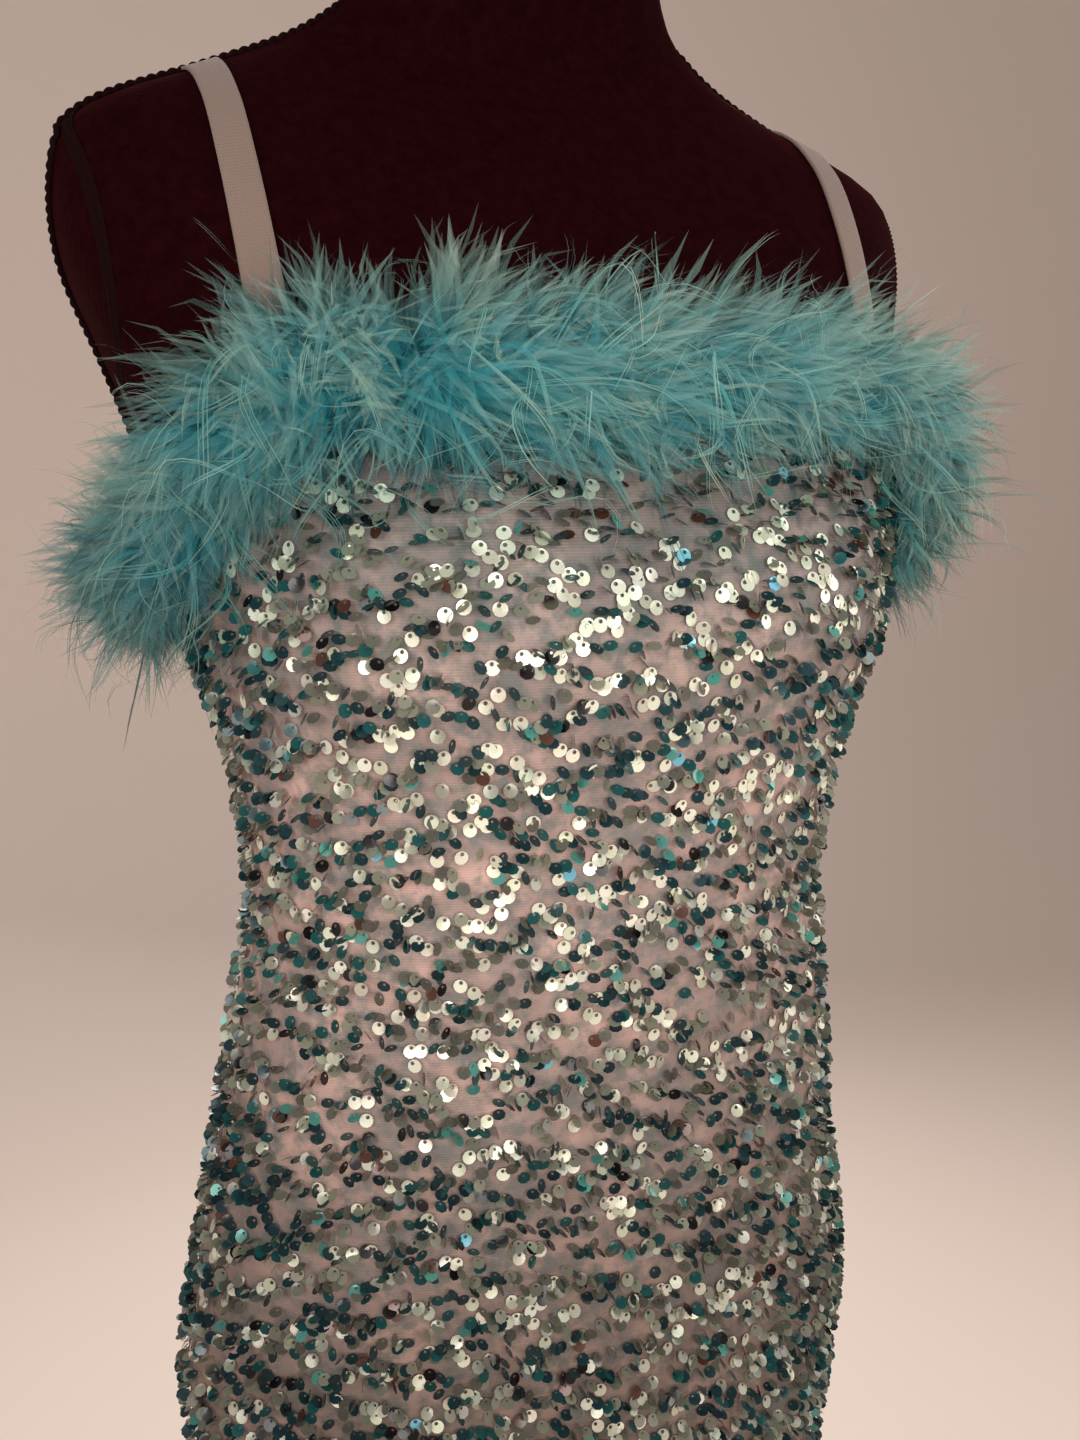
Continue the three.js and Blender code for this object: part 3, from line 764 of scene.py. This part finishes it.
def sequin_shape(sides, hole_sides, edged):
    """Corners, triangles and shades of one sequin about its hole, with painted shade at the edge of the
    hole if edged.
    """
    bm = bmesh.new()
    off = Matrix.Translation((0, -HOLE_OFF, SEQUIN_DISH))
    rings = [bmesh.ops.create_circle(bm, segments=sides, radius=SEQUIN_RADIUS, matrix=off)["verts"]]
    for radius in (HOLE_EDGE, HOLE_RADIUS) if edged else (HOLE_RADIUS,):
        rings.append(bmesh.ops.create_circle(bm, segments=hole_sides, radius=radius)["verts"])
    loops = [{edge for vert in ring for edge in vert.link_edges} for ring in rings]
    for outer, inner in zip(loops, loops[1:]):
        bmesh.ops.bridge_loops(bm, edges=list(outer | inner))
    bmesh.ops.triangulate(bm, faces=bm.faces)
    for face in bm.faces:
        face.normal_update()
        if face.normal.z < 0:
            face.normal_flip()
    corners, triangles = shape_parts(bm)
    # Painted shade: the corners at the hole are darkened to a tenth.
    at_hole = edged & (np.hypot(corners[:, 0], corners[:, 1]) < HOLE_RADIUS * 1.1)
    return corners, triangles, np.where(at_hole, 0.1, 1)


def joined_mesh(name, points, faces, colours):
    """One mesh of many small pieces: points in millimetres, triangles, and a colour for each point."""
    mesh = bpy.data.meshes.new(name)
    mesh.vertices.add(len(points))
    mesh.vertices.foreach_set("co", (points * MM).astype(np.float32).ravel())
    mesh.loops.add(faces.size)
    mesh.loops.foreach_set("vertex_index", faces.astype(np.int32).ravel())
    mesh.polygons.add(len(faces))
    mesh.polygons.foreach_set("loop_start", np.arange(0, faces.size, 3, dtype=np.int32))
    mesh.update(calc_edges=True)
    tint = mesh.color_attributes.new(name="tint", type="FLOAT_COLOR", domain="POINT")
    tint.data.foreach_set("color", np.c_[colours, np.ones(len(colours))].astype(np.float32).ravel())
    return mesh


def wave_sum(place, waves, length, rng):
    """Waves of about the given lengths that close on themselves round the given length."""
    total = 0 * place
    for long, high in waves:
        times = max(1, round(length / long * rng.uniform(0.85, 1.15)))
        total = total + high * np.sin(place / length * times * 2 * math.pi + rng.uniform(0, 2 * math.pi))
    return total


rng = np.random.default_rng(SEQUIN_SEED)
PATCHES = [(rng.integers(-9, 10), rng.uniform(-0.11, 0.11), rng.uniform(0, 6.3)) for _ in range(14)]
sewn = []
base = HEM + 4.0
while base < TOP_EDGE[:, 1].max():
    base += np.interp(base, *np.transpose(ROW_STEPS))
    fine = np.linspace(-math.pi, math.pi, 721)
    run = run_along(cloth_surface(fine, base + 0 * fine))
    count = int(run[-1] / SEQUIN_STEP)
    steps = SEQUIN_STEP * rng.uniform(0.8, 1.22, count)
    steps = steps + (rng.random(count) < GAP_SHARE) * rng.uniform(GAP_LEAST, GAP_MOST, count)
    place = np.cumsum(steps)
    place = place[place < run[-1]]
    height = base + wave_sum(place, ROW_WAVES, run[-1], rng) + rng.normal(0, 0.9, len(place))
    angle = np.interp(place, run, fine)
    patch = sum(np.sin(turns * angle + rise * height + phase) for turns, rise, phase in PATCHES) / 2.6
    chain = np.convolve(rng.normal(0, 1, len(place) + 2), (0.5, 1, 0.5), "valid") / 1.22
    rank = 1 / (1 + np.exp(-1.7 * (0.82 * chain + 0.45 * patch)))
    sewn.append(np.stack([angle, height, rank], -1)[(height < top_edge(angle) - 3) & (height > HEM + 2.5)])
angle, height, rank = np.concatenate(sewn).T
count = len(angle)

# Painted light: sequins that lie towards the room in front and behind more often get the bright colours,
# and those at the sides, low down and close under the trim get the dark ones.
upper = 1 / (1 + np.exp(-(height - 20) / 32))
in_front = bell(np.degrees(angle) + 3 + 25 * (1 - upper), 60)
behind = bell(np.degrees(half_turned(angle - math.pi)), 50)
lit = np.maximum(in_front, behind) * (0.1 + 0.9 * upper) * (1 - 0.6 * bell(height - top_edge(angle), 45))
looks = np.array(SEQUIN_LOOKS)
by_trim = bell(height - top_edge(angle), 55)
low_right = (1 - upper) * bell(np.degrees(angle) - 45, 40)
shares = np.stack([lit, 1 - lit, by_trim, low_right], 1) @ looks[:, :4].T
edges = np.cumsum(shares, 1) / shares.sum(1, keepdims=True)
pick = (rank[:, None] > edges).sum(1).clip(0, len(looks) - 1)
mixed = rng.random(count) < 0.45
fresh = (rng.random(count)[:, None] > edges).sum(1).clip(0, len(looks) - 1)
look = looks[np.where(mixed, fresh, pick)]
tint = look[:, 4:7] * rng.uniform(0.85, 1.1, (count, 1)) * rng.uniform(0.96, 1.04, (count, 3))
# Painted shade: the sequins are darker and less red close under the trim, and darker low down.
tint = tint * (1 - by_trim[:, None] * (0.35, 0.08, 0.08)) * (1 - 0.2 * (1 - upper[:, None]))
tilt = np.radians(rng.uniform(look[:, 7], look[:, 8]))
tilt = (tilt + 0.2 * (1 - upper) * (tilt > 0.8)) * (1 - 0.22 * by_trim)
roll = rng.normal(0, 1, count) * (0.06 + 0.55 * np.sin(tilt))
spin = rng.normal(0.15, 0.45, count)
lift = 0.35 + rng.uniform(0, 0.9, count) + 0.9 * np.sin(tilt)

around, up = slopes(cloth_surface, angle, height)
outward = unit(np.cross(around, up))
upward = unit(up - outward * (up * outward).sum(-1, keepdims=True))
across = np.cross(upward, outward)
hung = swung(upward, across, spin)
beside = np.cross(hung, outward)
lifted = swung(hung, -outward, tilt)
tipped = swung(beside, np.cross(beside, lifted), roll)
facing = np.cross(tipped, lifted)
turned_in = (facing * outward).sum(-1, keepdims=True) < 0
tipped = np.where(turned_in, -tipped, tipped)
facing = np.where(turned_in, -facing, facing)
centre = cloth_surface(angle, height) + outward * (0.25 + lift)[:, None]

SHAPES = (sequin_shape(12, 6, True), sequin_shape(8, 4, False))


def many(shape, centre, right, up, out, colour):
    """Points, triangles and colours of a shape repeated at many places, each with its own directions."""
    corners, triangles, shades = shape
    points = (
        centre[:, None]
        + corners[None, :, :1] * right[:, None]
        + corners[None, :, 1:2] * up[:, None]
        + corners[None, :, 2:] * out[:, None]
    )
    faces = triangles[None] + np.arange(len(points))[:, None, None] * len(corners)
    colours = colour[:, None] * shades[None, :, None]
    return points.reshape(-1, 3), faces.reshape(-1, 3), colours.reshape(-1, 3)


def joined_runs(runs):
    points, faces, colours = zip(*runs)
    starts = np.cumsum([0] + [len(each) for each in points])
    faces = [each + start for each, start in zip(faces, starts)]
    return np.concatenate(points), np.concatenate(faces), np.concatenate(colours)


def tint_of(tree):
    """The colour that each point of a joined mesh has."""
    stain = tree.nodes.new("ShaderNodeVertexColor")
    stain.layer_name = "tint"
    return stain.outputs["Color"]


def sequin_run(chosen, shape):
    return many(shape, centre[chosen], tipped[chosen], lifted[chosen], facing[chosen], tint[chosen])


sequin_film = plain_material("sequin_film", (0.5, 0.5, 0.4), 0.24, metallic=0.25)
tree = sequin_film.node_tree
place = add_node(tree, "ShaderNodeTexCoord").outputs["Object"]
haze = add_effect(tree, soft_patches, Place=place, Scale=260.0, Least=0.16, Most=0.42)
finish(sequin_film, Base_Color=tint_of(tree), Roughness=haze, Coat_Weight=0.3, Coat_Roughness=0.12)

on_front = np.abs(angle) <= math.pi / 2
for word, on_panel in (("front", on_front), ("back", ~on_front)):
    near = sequin_run(on_panel & (tilt <= FACING_TILT), SHAPES[0])
    far = sequin_run(on_panel & (tilt > FACING_TILT), SHAPES[1])
    mesh = joined_mesh(f"sequins_{word}", *joined_runs([near, far]))
    sequins = add_piece(f"sequins_{word}", mesh, sequin_film)
    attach(sequins, "root")
    panel, size, area = PANELS[word]

# ---- Hem -----------------------------------------------------------------------------------------
# The lower edge is turned in once and held by two rows of stitches, with an overlocked edge inside.
# It is part of each panel and keeps within the thickness of its wall.

HEM_TURNED = 14.0
HEM_IN, HEM_DROP = 1.35, 0.3  # how far in the fold ends, and how far below the hem it bends
FOLD_THICK = 0.0004
HEM_THREAD, HEM_STITCH, HEM_STEP = 0.2, 2.6, 3.4
HEM_RUN = 410  # a little more than the length of a panel's hem
# Outside (-1) or inside (1), height above the hem, lean of the stitches.
HEM_ROWS = ((-1, 11.0, 0), (-1, 8.4, 0), (1, 13.6, 0.9))
hem_thread = plain_material("hem_thread", (0.34, 0.25, 0.23), 0.6)


def thread_shape():
    bm = bmesh.new()
    lying = Matrix.Rotation(math.pi / 2, 4, "Y")
    thick = {"radius1": HEM_THREAD, "radius2": HEM_THREAD}
    bmesh.ops.create_cone(bm, cap_ends=True, segments=5, **thick, depth=HEM_STITCH, matrix=lying)
    bmesh.ops.triangulate(bm, faces=bm.faces)
    corners, triangles = shape_parts(bm)
    return corners, triangles, np.ones(len(corners))


def hem_point(angle, height, inward):
    return cloth_surface(angle, height) - normal_at(cloth_surface, angle, height) * inward[..., None]


for word, middle in (("front", 0), ("back", math.pi)):

    def fold_place(across, up):
        angle = middle + PANEL_TURN * (2 * across - 1)
        turn = np.clip(up / 0.3, 0, 1) * math.pi
        height = HEM - HEM_DROP * np.sin(turn) + HEM_TURNED * np.clip((up - 0.3) / 0.7, 0, 1)
        inward = 0.2 + (HEM_IN - 0.2) * (1 - np.cos(turn)) / 2
        return hem_point(angle, np.maximum(height, HEM - HEM_DROP), inward)

    fold = add_piece(f"hem_fold_{word}", mapped_grid(f"hem_fold_{word}", 80, 10, fold_place), knit)
    thicken(fold, "cloth", FOLD_THICK, offset=0)
    runs = []
    for side, above, lean in HEM_ROWS:
        angle = middle + PANEL_TURN * np.arange(-0.99, 0.99, HEM_STEP / HEM_RUN * 2)
        around, up = slopes(cloth_surface, angle, HEM + above + 0 * angle)
        out = unit(np.cross(around, up))
        right = unit(unit(around) + unit(up) * lean)
        inward = np.full(len(angle), 0.0 if side < 0 else HEM_IN + 0.3)
        centre = hem_point(angle, HEM + above + 0 * angle, inward)
        beige = np.full((len(angle), 3), 0.3)
        runs.append(many(thread_shape(), centre, right, np.cross(out, right), out, beige))
    mesh = joined_mesh(f"hem_stitches_{word}", *joined_runs(runs))
    stitches = add_piece(f"hem_stitches_{word}", mesh, hem_thread)
    for piece in (fold, stitches):
        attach(piece, "root")

# ---- Feather trim --------------------------------------------------------------------------------
# Marabou down wound on a cord and sewn all round the outside of the top edge. Short down hides the
# cord. Longer barbs stand in small tufts over it, part near one strap and end in fine wisps.

FEATHER_SEED = 23
CORD_DROP, CORD_OUT, CORD_RADIUS = 10.0, 4.5, 3.0
TEAL = np.array((0.003, 0.205, 0.262))
AQUA = np.array((0.028, 0.245, 0.28))
PALE = np.array((0.125, 0.30, 0.272))
SAND = np.array((0.37, 0.42, 0.325))
GLOW = 0.1  # painted light: the down glows a little in its own colour, in place of light that scatters through it
# Each barb is a loose row of hairs that one can see through.
FLUFF = {"marabou_fluff": 1.0, "marabou_haze": 0.27, "marabou_barbs": 0.43, "marabou_hairs": 0.68}
PART_TURN = -43  # degrees round where the feathers part: they lean away from here on both sides
END_TURN = 88  # degrees round to where the trim turns back under the arms


def trim_place(angle, drop):
    """A place on the cloth, drop millimetres below the top edge, and the ways along and down the trim."""
    around, up = slopes(cloth_surface, angle, top_edge(angle))
    rise = ((top_edge(angle + 0.01) - top_edge(angle - 0.01)) / 0.02)[..., None]
    along = around + up * rise
    share = (up * along).sum(-1, keepdims=True) / (along * along).sum(-1, keepdims=True)
    down = along * share - up
    size = np.linalg.norm(down, axis=-1)
    at = angle + share[..., 0] / size * drop
    height = top_edge(angle) + (share[..., 0] * rise[..., 0] - 1) / size * drop
    return at, height, unit(along), unit(down)


def kept_outside(points, clearance):
    """Moves points that come closer to the cloth, or to the form above it, than the clearance."""
    turn, height = section_angle(points)
    side = form_value(height, SIDE)
    wall = section_point(turn, height, row_value(EASE, height, 1) + WALL, bridged_rise)
    reach = np.hypot(wall[..., 0], wall[..., 1] - side) + clearance
    now = np.hypot(points[..., 0], points[..., 1] - side)
    push = np.maximum(reach / np.maximum(now, 1), 1)
    return np.stack([points[..., 0] * push, side + (points[..., 1] - side) * push, points[..., 2]], -1)


def even_angles(count, rng):
    """Angles that follow each other at about equal lengths along the top edge."""
    fine = np.linspace(-math.pi, math.pi, 2001)
    run = run_along(cloth_surface(fine, top_edge(fine)))
    want = (np.arange(count) + rng.uniform(-0.5, 0.5, count)) % count / count * run[-1]
    return np.interp(want, run, fine)


def lean_of(angle):
    degrees = np.degrees(angle)
    behind = np.clip((np.abs(degrees) - 100) / 30, 0, 1)
    return np.tanh((degrees - PART_TURN) / 14) * (1 - behind) + behind * np.sin(degrees * 0.11) * 0.7


def springs(angle, fan):
    """Roots on the cord and the ways feathers leave it: fan is the angle up or down from level."""
    at, height, along, down = trim_place(angle, np.full(len(angle), CORD_DROP))
    outward = normal_at(cloth_surface, at, height)
    ray = swung(outward, -down, fan)
    core = cloth_surface(at, height) + outward * CORD_OUT
    return core, core + ray * CORD_RADIUS * 0.6, ray, along


def below_part(angle, fan):
    """How much longer the down hangs below the place where it parts."""
    return bell(np.degrees(angle) + 28, 22) * np.clip(0.5 - fan, 0, 1)


def right_share(angle, fan):
    """Share of its length that hanging down keeps on the right of the front, where the trim is slimmer."""
    return 1 - 0.26 * bell(np.degrees(angle) - 40, 30) * np.clip(-np.sin(fan), 0, 1)


def wander(angle, fan):
    """Directions that change smoothly round the trim, so that close feathers turn the same way."""
    total = 0
    for turns, rise, phase, way in WANDER:
        total = total + way * np.sin(turns * angle + rise * fan + phase)[:, None]
    return total / 2.2


def grown(root, first, last, curl, phase, turns, length, steps):
    """Rows of points on fibres that leave a root one way, turn to another and curl on the way."""
    share = np.linspace(0, 1, steps)[None, :, None]
    wave = np.sin(phase[:, None, None] + turns[:, None, None] * 2 * math.pi * share)
    way = unit(first[:, None] * (1 - share) + last[:, None] * share + curl[:, None] * wave)
    moves = (way[:, 1:] + way[:, :-1]) * (length[:, None, None] / 2 / (steps - 1))
    return root[:, None] + np.concatenate([0 * moves[:, :1], np.cumsum(moves, axis=1)], 1)


def ribbons(name, rows, core, width, tints, rng):
    """Ribbons that narrow to their tips, shaded as one soft mass about the cord at their core."""
    count, steps = rows.shape[:2]
    cloud = unit(unit(rows - core[:, None]) + rng.normal(0, 0.12, (count, 1, 3)))
    sideways = unit(np.cross(np.gradient(rows, axis=1), cloud))
    taper = np.interp(np.linspace(0, 1, steps)[:-1], (0, 0.3, 0.7, 1), (0.7, 1, 0.65, 0.25))
    half = sideways[:, :-1] * (width[:, None] * taper / 2)[..., None]
    pairs = np.stack([rows[:, :-1] - half, rows[:, :-1] + half], 2).reshape(count, -1, 3)
    points = np.concatenate([pairs, rows[:, -1:]], 1)
    # Painted sheen: one edge of each ribbon is a little lighter than the other.
    sheen = rng.uniform(-0.04, 0.04, (count, 1, 1))
    pair_tints = np.stack([tints[:, :-1] * (1 - sheen), tints[:, :-1] * (1 + sheen)], 2)
    colours = np.concatenate([pair_tints.reshape(count, -1, 3), tints[:, -1:]], 1)
    normals = np.concatenate([np.repeat(cloud[:, :-1], 2, axis=1), cloud[:, -1:]], 1)
    faces = []
    for step in range(steps - 2):
        faces += [(2 * step, 2 * step + 1, 2 * step + 3), (2 * step, 2 * step + 3, 2 * step + 2)]
    faces.append((2 * steps - 4, 2 * steps - 3, 2 * steps - 2))
    faces = (np.array(faces)[None] + np.arange(count)[:, None, None] * (2 * steps - 1)).reshape(-1, 3)
    mesh = joined_mesh(name, points.reshape(-1, 3), faces, colours.reshape(-1, 3))
    mesh.polygons.foreach_set("use_smooth", np.ones(len(faces), bool))
    mesh.normals_split_custom_set_from_vertices(normals.reshape(-1, 3).astype(np.float32))
    return mesh


def blended(first, second, share):
    return first + (second - first) * np.clip(share, 0, 1)[..., None]


def barb_tints(share, pale, shade):
    """Teal at the root, then aqua, then pale at the tip: pale moves the change down the barb, and shade,
    partly painted shade, darkens it.
    """
    reach = share + pale[:, None] * 0.9 - 0.05
    low = blended(TEAL, AQUA, reach * 2)
    high = blended(low, PALE, reach * 2 - 1)
    return blended(high, SAND, (share * 1.8 - 0.9) * (0.5 + pale[:, None])) * shade[:, None, None]


def cast_of(angle, fan):
    """How pale and how dark the down is round the trim, in soft patches, with painted shade: lighter on the
    upper side, darker below and at the left end.
    """
    patch = np.sin(angle * 15 + 1) * np.sin(fan * 2.3 + angle * 5)
    patch = patch + 0.6 * np.sin(angle * 34 + fan * 1.7 + 2)
    degrees = np.degrees(angle)
    pale = 0.2 * patch + 0.34 * bell(degrees - 84, 46) - 0.12 * bell(degrees + 84, 34) + 0.27 * np.sin(fan)
    shade = 1 + 0.1 * np.sin(fan) + 0.08 * np.sin(angle * 29 + fan * 2)
    return pale, shade - 0.2 * bell(degrees + 88, 36) - 0.04 * bell(degrees - 84, 40)


MARABOU = {}
for name, alpha in FLUFF.items():
    marabou = plain_material(name, tuple(AQUA), 0.95)
    stain = tint_of(marabou.node_tree)
    # The down glows in its own colour: painted light.
    finish(
        marabou,
        Base_Color=stain,
        Specular_IOR_Level=0.04,
        Sheen_Weight=0.15,
        Sheen_Roughness=0.7,
        Sheen_Tint=(0.8, 1.0, 1.0),
        Emission_Color=stain,
        Emission_Strength=GLOW,
        Alpha=alpha,
    )
    MARABOU[name] = marabou

rng = np.random.default_rng(FEATHER_SEED)
WANDER = [
    (rng.integers(16, 70), rng.uniform(-3, 3), rng.uniform(0, 2 * math.pi), unit(rng.normal(0, 1, 3)))
    for _ in range(10)
]


def add_trim(name, mesh, material):
    piece = add_piece(name, mesh, MARABOU[material])
    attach(piece, "root")
    return piece


def add_down(name, material, count, steps, lengths, widths, curl_size, pale_base):
    """Single barbs all round the cord. Those that stand close together turn and curl the same way."""
    angle = even_angles(count, rng)
    fan = np.radians(-82 + 186 * rng.random(count) ** 0.86)
    core, root, ray, along = springs(angle, fan)
    lean = lean_of(angle) * rng.uniform(0.5, 1.1, count) * (1 + 0.5 * np.clip(np.sin(fan), 0, 1))
    shared = wander(angle, fan)
    last = 0.5 * ray + along * lean[:, None] + 0.9 * shared + rng.normal(0, 0.26, (count, 3))
    last[:, 2] -= 0.25
    curl = unit(shared + rng.normal(0, 0.4, (count, 3)))
    curl = curl * (curl_size * rng.uniform(0.3, 1.2, count))[:, None]
    phase = angle * 31 + fan * 2 + rng.normal(0, 0.5, count)
    uneven = 0.16 * np.sin(angle * 23) * np.sin(fan * 3 + angle * 7)
    at_end = bell(np.abs(np.degrees(angle)) - END_TURN, 34)
    length = rng.uniform(*lengths, count) * (1 + uneven)
    length = length * (1 + 0.06 * np.sin(fan) + 0.3 * below_part(angle, fan))
    length = length * (1 - 0.24 * at_end * np.clip(-np.sin(fan), 0, 1)) * right_share(angle, fan)
    rows = grown(root, ray, unit(last), curl, phase, rng.uniform(0.5, 1.0, count), length, steps)
    rows = kept_outside(rows, 1.5)
    pale, shade = cast_of(angle, fan)
    pale = pale + pale_base + rng.normal(0, 0.05, count)
    share = np.repeat(np.linspace(0, 1, steps)[None], count, 0)
    tints = barb_tints(share, pale, shade * rng.uniform(0.94, 1.06, count))
    mesh = ribbons(name, rows, core, rng.uniform(*widths, count), tints, rng)
    return add_trim(name, mesh, material)


GUIDE_STEPS = 15
END_SPAN = (72, 124)  # degrees round where more tufts stand, at both ends
HAIR_REACH, HAIR_SPARE = (196, 172), 14  # past these sideways and forward, hairs bend in


def add_tufts(name, material, tufts, barbs, fans, lengths, widths, steps, curl_size, fall, pale_base, more):
    """Tufts of longer barbs that leave a curved quill one after another, spread and half close again."""
    angle = even_angles(tufts, rng)
    moved = rng.choice((-1, 1), tufts) * np.radians(rng.uniform(*END_SPAN, tufts))
    angle = np.where(rng.random(tufts) < more, moved, angle)
    fan = np.radians(rng.uniform(*fans, tufts))
    core, root, ray, along = springs(angle, fan)
    at_end = bell(np.abs(np.degrees(angle)) - END_TURN, 30)
    lean = lean_of(angle) * rng.uniform(0.4, 1.3, tufts)
    shared = wander(angle, fan)
    lean = lean * (1 + 1.1 * np.clip(np.sin(fan), 0, 1))
    last = 0.3 * ray + along * lean[:, None] + 1.0 * shared + rng.normal(0, 0.25, (tufts, 3))
    last[:, 2] -= (fall + 0.6 * at_end) * rng.uniform(0.2, 1.8, tufts)
    sideways = unit(np.cross(ray + unit(last), shared + rng.normal(0, 0.9, (tufts, 3))))
    curl = sideways * (curl_size * rng.uniform(0.4, 1.1, tufts))[:, None]
    phase = angle * 31 + fan * 2 + rng.normal(0, 0.7, tufts)
    length = rng.uniform(*lengths, tufts) * (1 - 0.1 * at_end + 0.25 * below_part(angle, fan))
    length = length * right_share(angle, fan)
    guide = grown(root, ray, unit(last), curl, phase, rng.uniform(0.5, 1.4, tufts), length, GUIDE_STEPS)
    wide = rng.uniform(1.2, 3.6, tufts)
    close = rng.uniform(0.3, 0.9, tufts)
    pale, shade = cast_of(angle, fan)
    pale = np.maximum(pale + pale_base + rng.normal(0, 0.1, tufts), 0.8 * pale_base)

    who = np.repeat(np.arange(tufts), barbs)
    count = len(who)
    step = np.linspace(0, 1, steps)[None]
    start = rng.uniform(0, 0.4, (count, 1))
    share = start + rng.uniform(0.5, 0.6, (count, 1)) * step
    at = share * (GUIDE_STEPS - 1)
    row = np.minimum(at.astype(int), GUIDE_STEPS - 2)
    quill = blended(guide[who[:, None], row], guide[who[:, None], row + 1], at - row)
    off = unit(rng.normal(0, 1, (count, 3)))
    opened = step ** 0.7 * (1 - close[who][:, None] * step ** 2) * wide[who][:, None]
    opened = opened * rng.uniform(0.4, 1.4, (count, 1))
    ripple = unit(rng.normal(0, 1, (count, 3)))
    rippled = 0.7 * step * np.sin(step * rng.uniform(3, 7, (count, 1)) + rng.uniform(0, 6, (count, 1)))
    rows = quill + off[:, None] * opened[..., None] + ripple[:, None] * rippled[..., None]
    rows = kept_outside(rows, 2.0)
    for axis, reach in enumerate(HAIR_REACH):
        past = np.maximum(np.abs(rows[..., axis]) - reach, 0)
        rows[..., axis] -= np.sign(rows[..., axis]) * (past - HAIR_SPARE * (1 - np.exp(-past / HAIR_SPARE)))
    pale = pale[who] + rng.normal(0, 0.05, count)
    tints = barb_tints(share, pale, shade[who] * rng.uniform(0.95, 1.05, count))
    mesh = ribbons(name, rows, core[who], rng.uniform(*widths, count), tints, rng)
    return add_trim(name, mesh, material)


# Name, material, barbs, points along each, lengths, widths, curl and how pale.
DOWN = (
    ("marabou_core", "marabou_fluff", 26000, 3, (14, 23), (1.2, 2.0), 0.3, -0.1),
    ("marabou_down", "marabou_haze", 19500, 6, (25, 48), (2.6, 4.6), 0.7, 0.0),
)
# Degrees that tufts fan out up or down from level.
UPPER, LOWER, ROUND = (10, 108), (-84, 14), (-84, 72)
# Name, material, tufts, barbs in each, fan, lengths, widths, points along each barb, curl, fall, how
# pale, and the share that stands at the ends.
TUFTS = (
    ("marabou_tufts_upper", "marabou_barbs", 720, 8, UPPER, (32, 58), (0.5, 1.0), 7, 1.7, 0.3, 0.3, 0),
    ("marabou_tufts_lower", "marabou_barbs", 800, 8, LOWER, (34, 70), (0.5, 1.0), 7, 1.5, 1.0, 0.15, 0),
    ("marabou_wisps_upper", "marabou_hairs", 360, 4, UPPER, (46, 80), (0.3, 0.55), 9, 2.2, 0.3, 0.6, 0),
    ("marabou_wisps_lower", "marabou_hairs", 560, 5, LOWER, (46, 96), (0.3, 0.55), 9, 1.9, 1.4, 0.5, 0.3),
    ("marabou_strays", "marabou_hairs", 480, 2, ROUND, (52, 92), (0.3, 0.5), 12, 2.6, 1.0, 0.7, 0.65),
)
core_down = [add_down(*layer) for layer in DOWN][0]
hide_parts("feather_trim")
for layer in TUFTS:
    add_tufts(*layer)

# The cord that carries the down.
CORD_TURNS = 220


def cord_place(across, up):
    angle = (up * 2 - 1) * math.pi
    at, height, _, down = trim_place(angle, np.full(len(angle), CORD_DROP))
    outward = normal_at(cloth_surface, at, height)
    turn = across * 2 * math.pi
    swell = CORD_RADIUS * 0.7 * (1 + 0.14 * np.cos(turn - up * CORD_TURNS * math.pi))
    return cloth_surface(at, height) + outward * 3.0 + swung(outward, -down, turn) * swell[:, None]


bm = bmesh.new()
bm.from_mesh(mapped_grid("marabou_cord", 8, CORD_TURNS, cord_place, closed=True))
bmesh.ops.recalc_face_normals(bm, faces=bm.faces)
cord_thread = plain_material("feather_cord", (0.02, 0.3, 0.42), 0.8)
cord = add_piece("marabou_cord", from_bmesh("marabou_cord", bm), cord_thread)
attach(cord, "root")
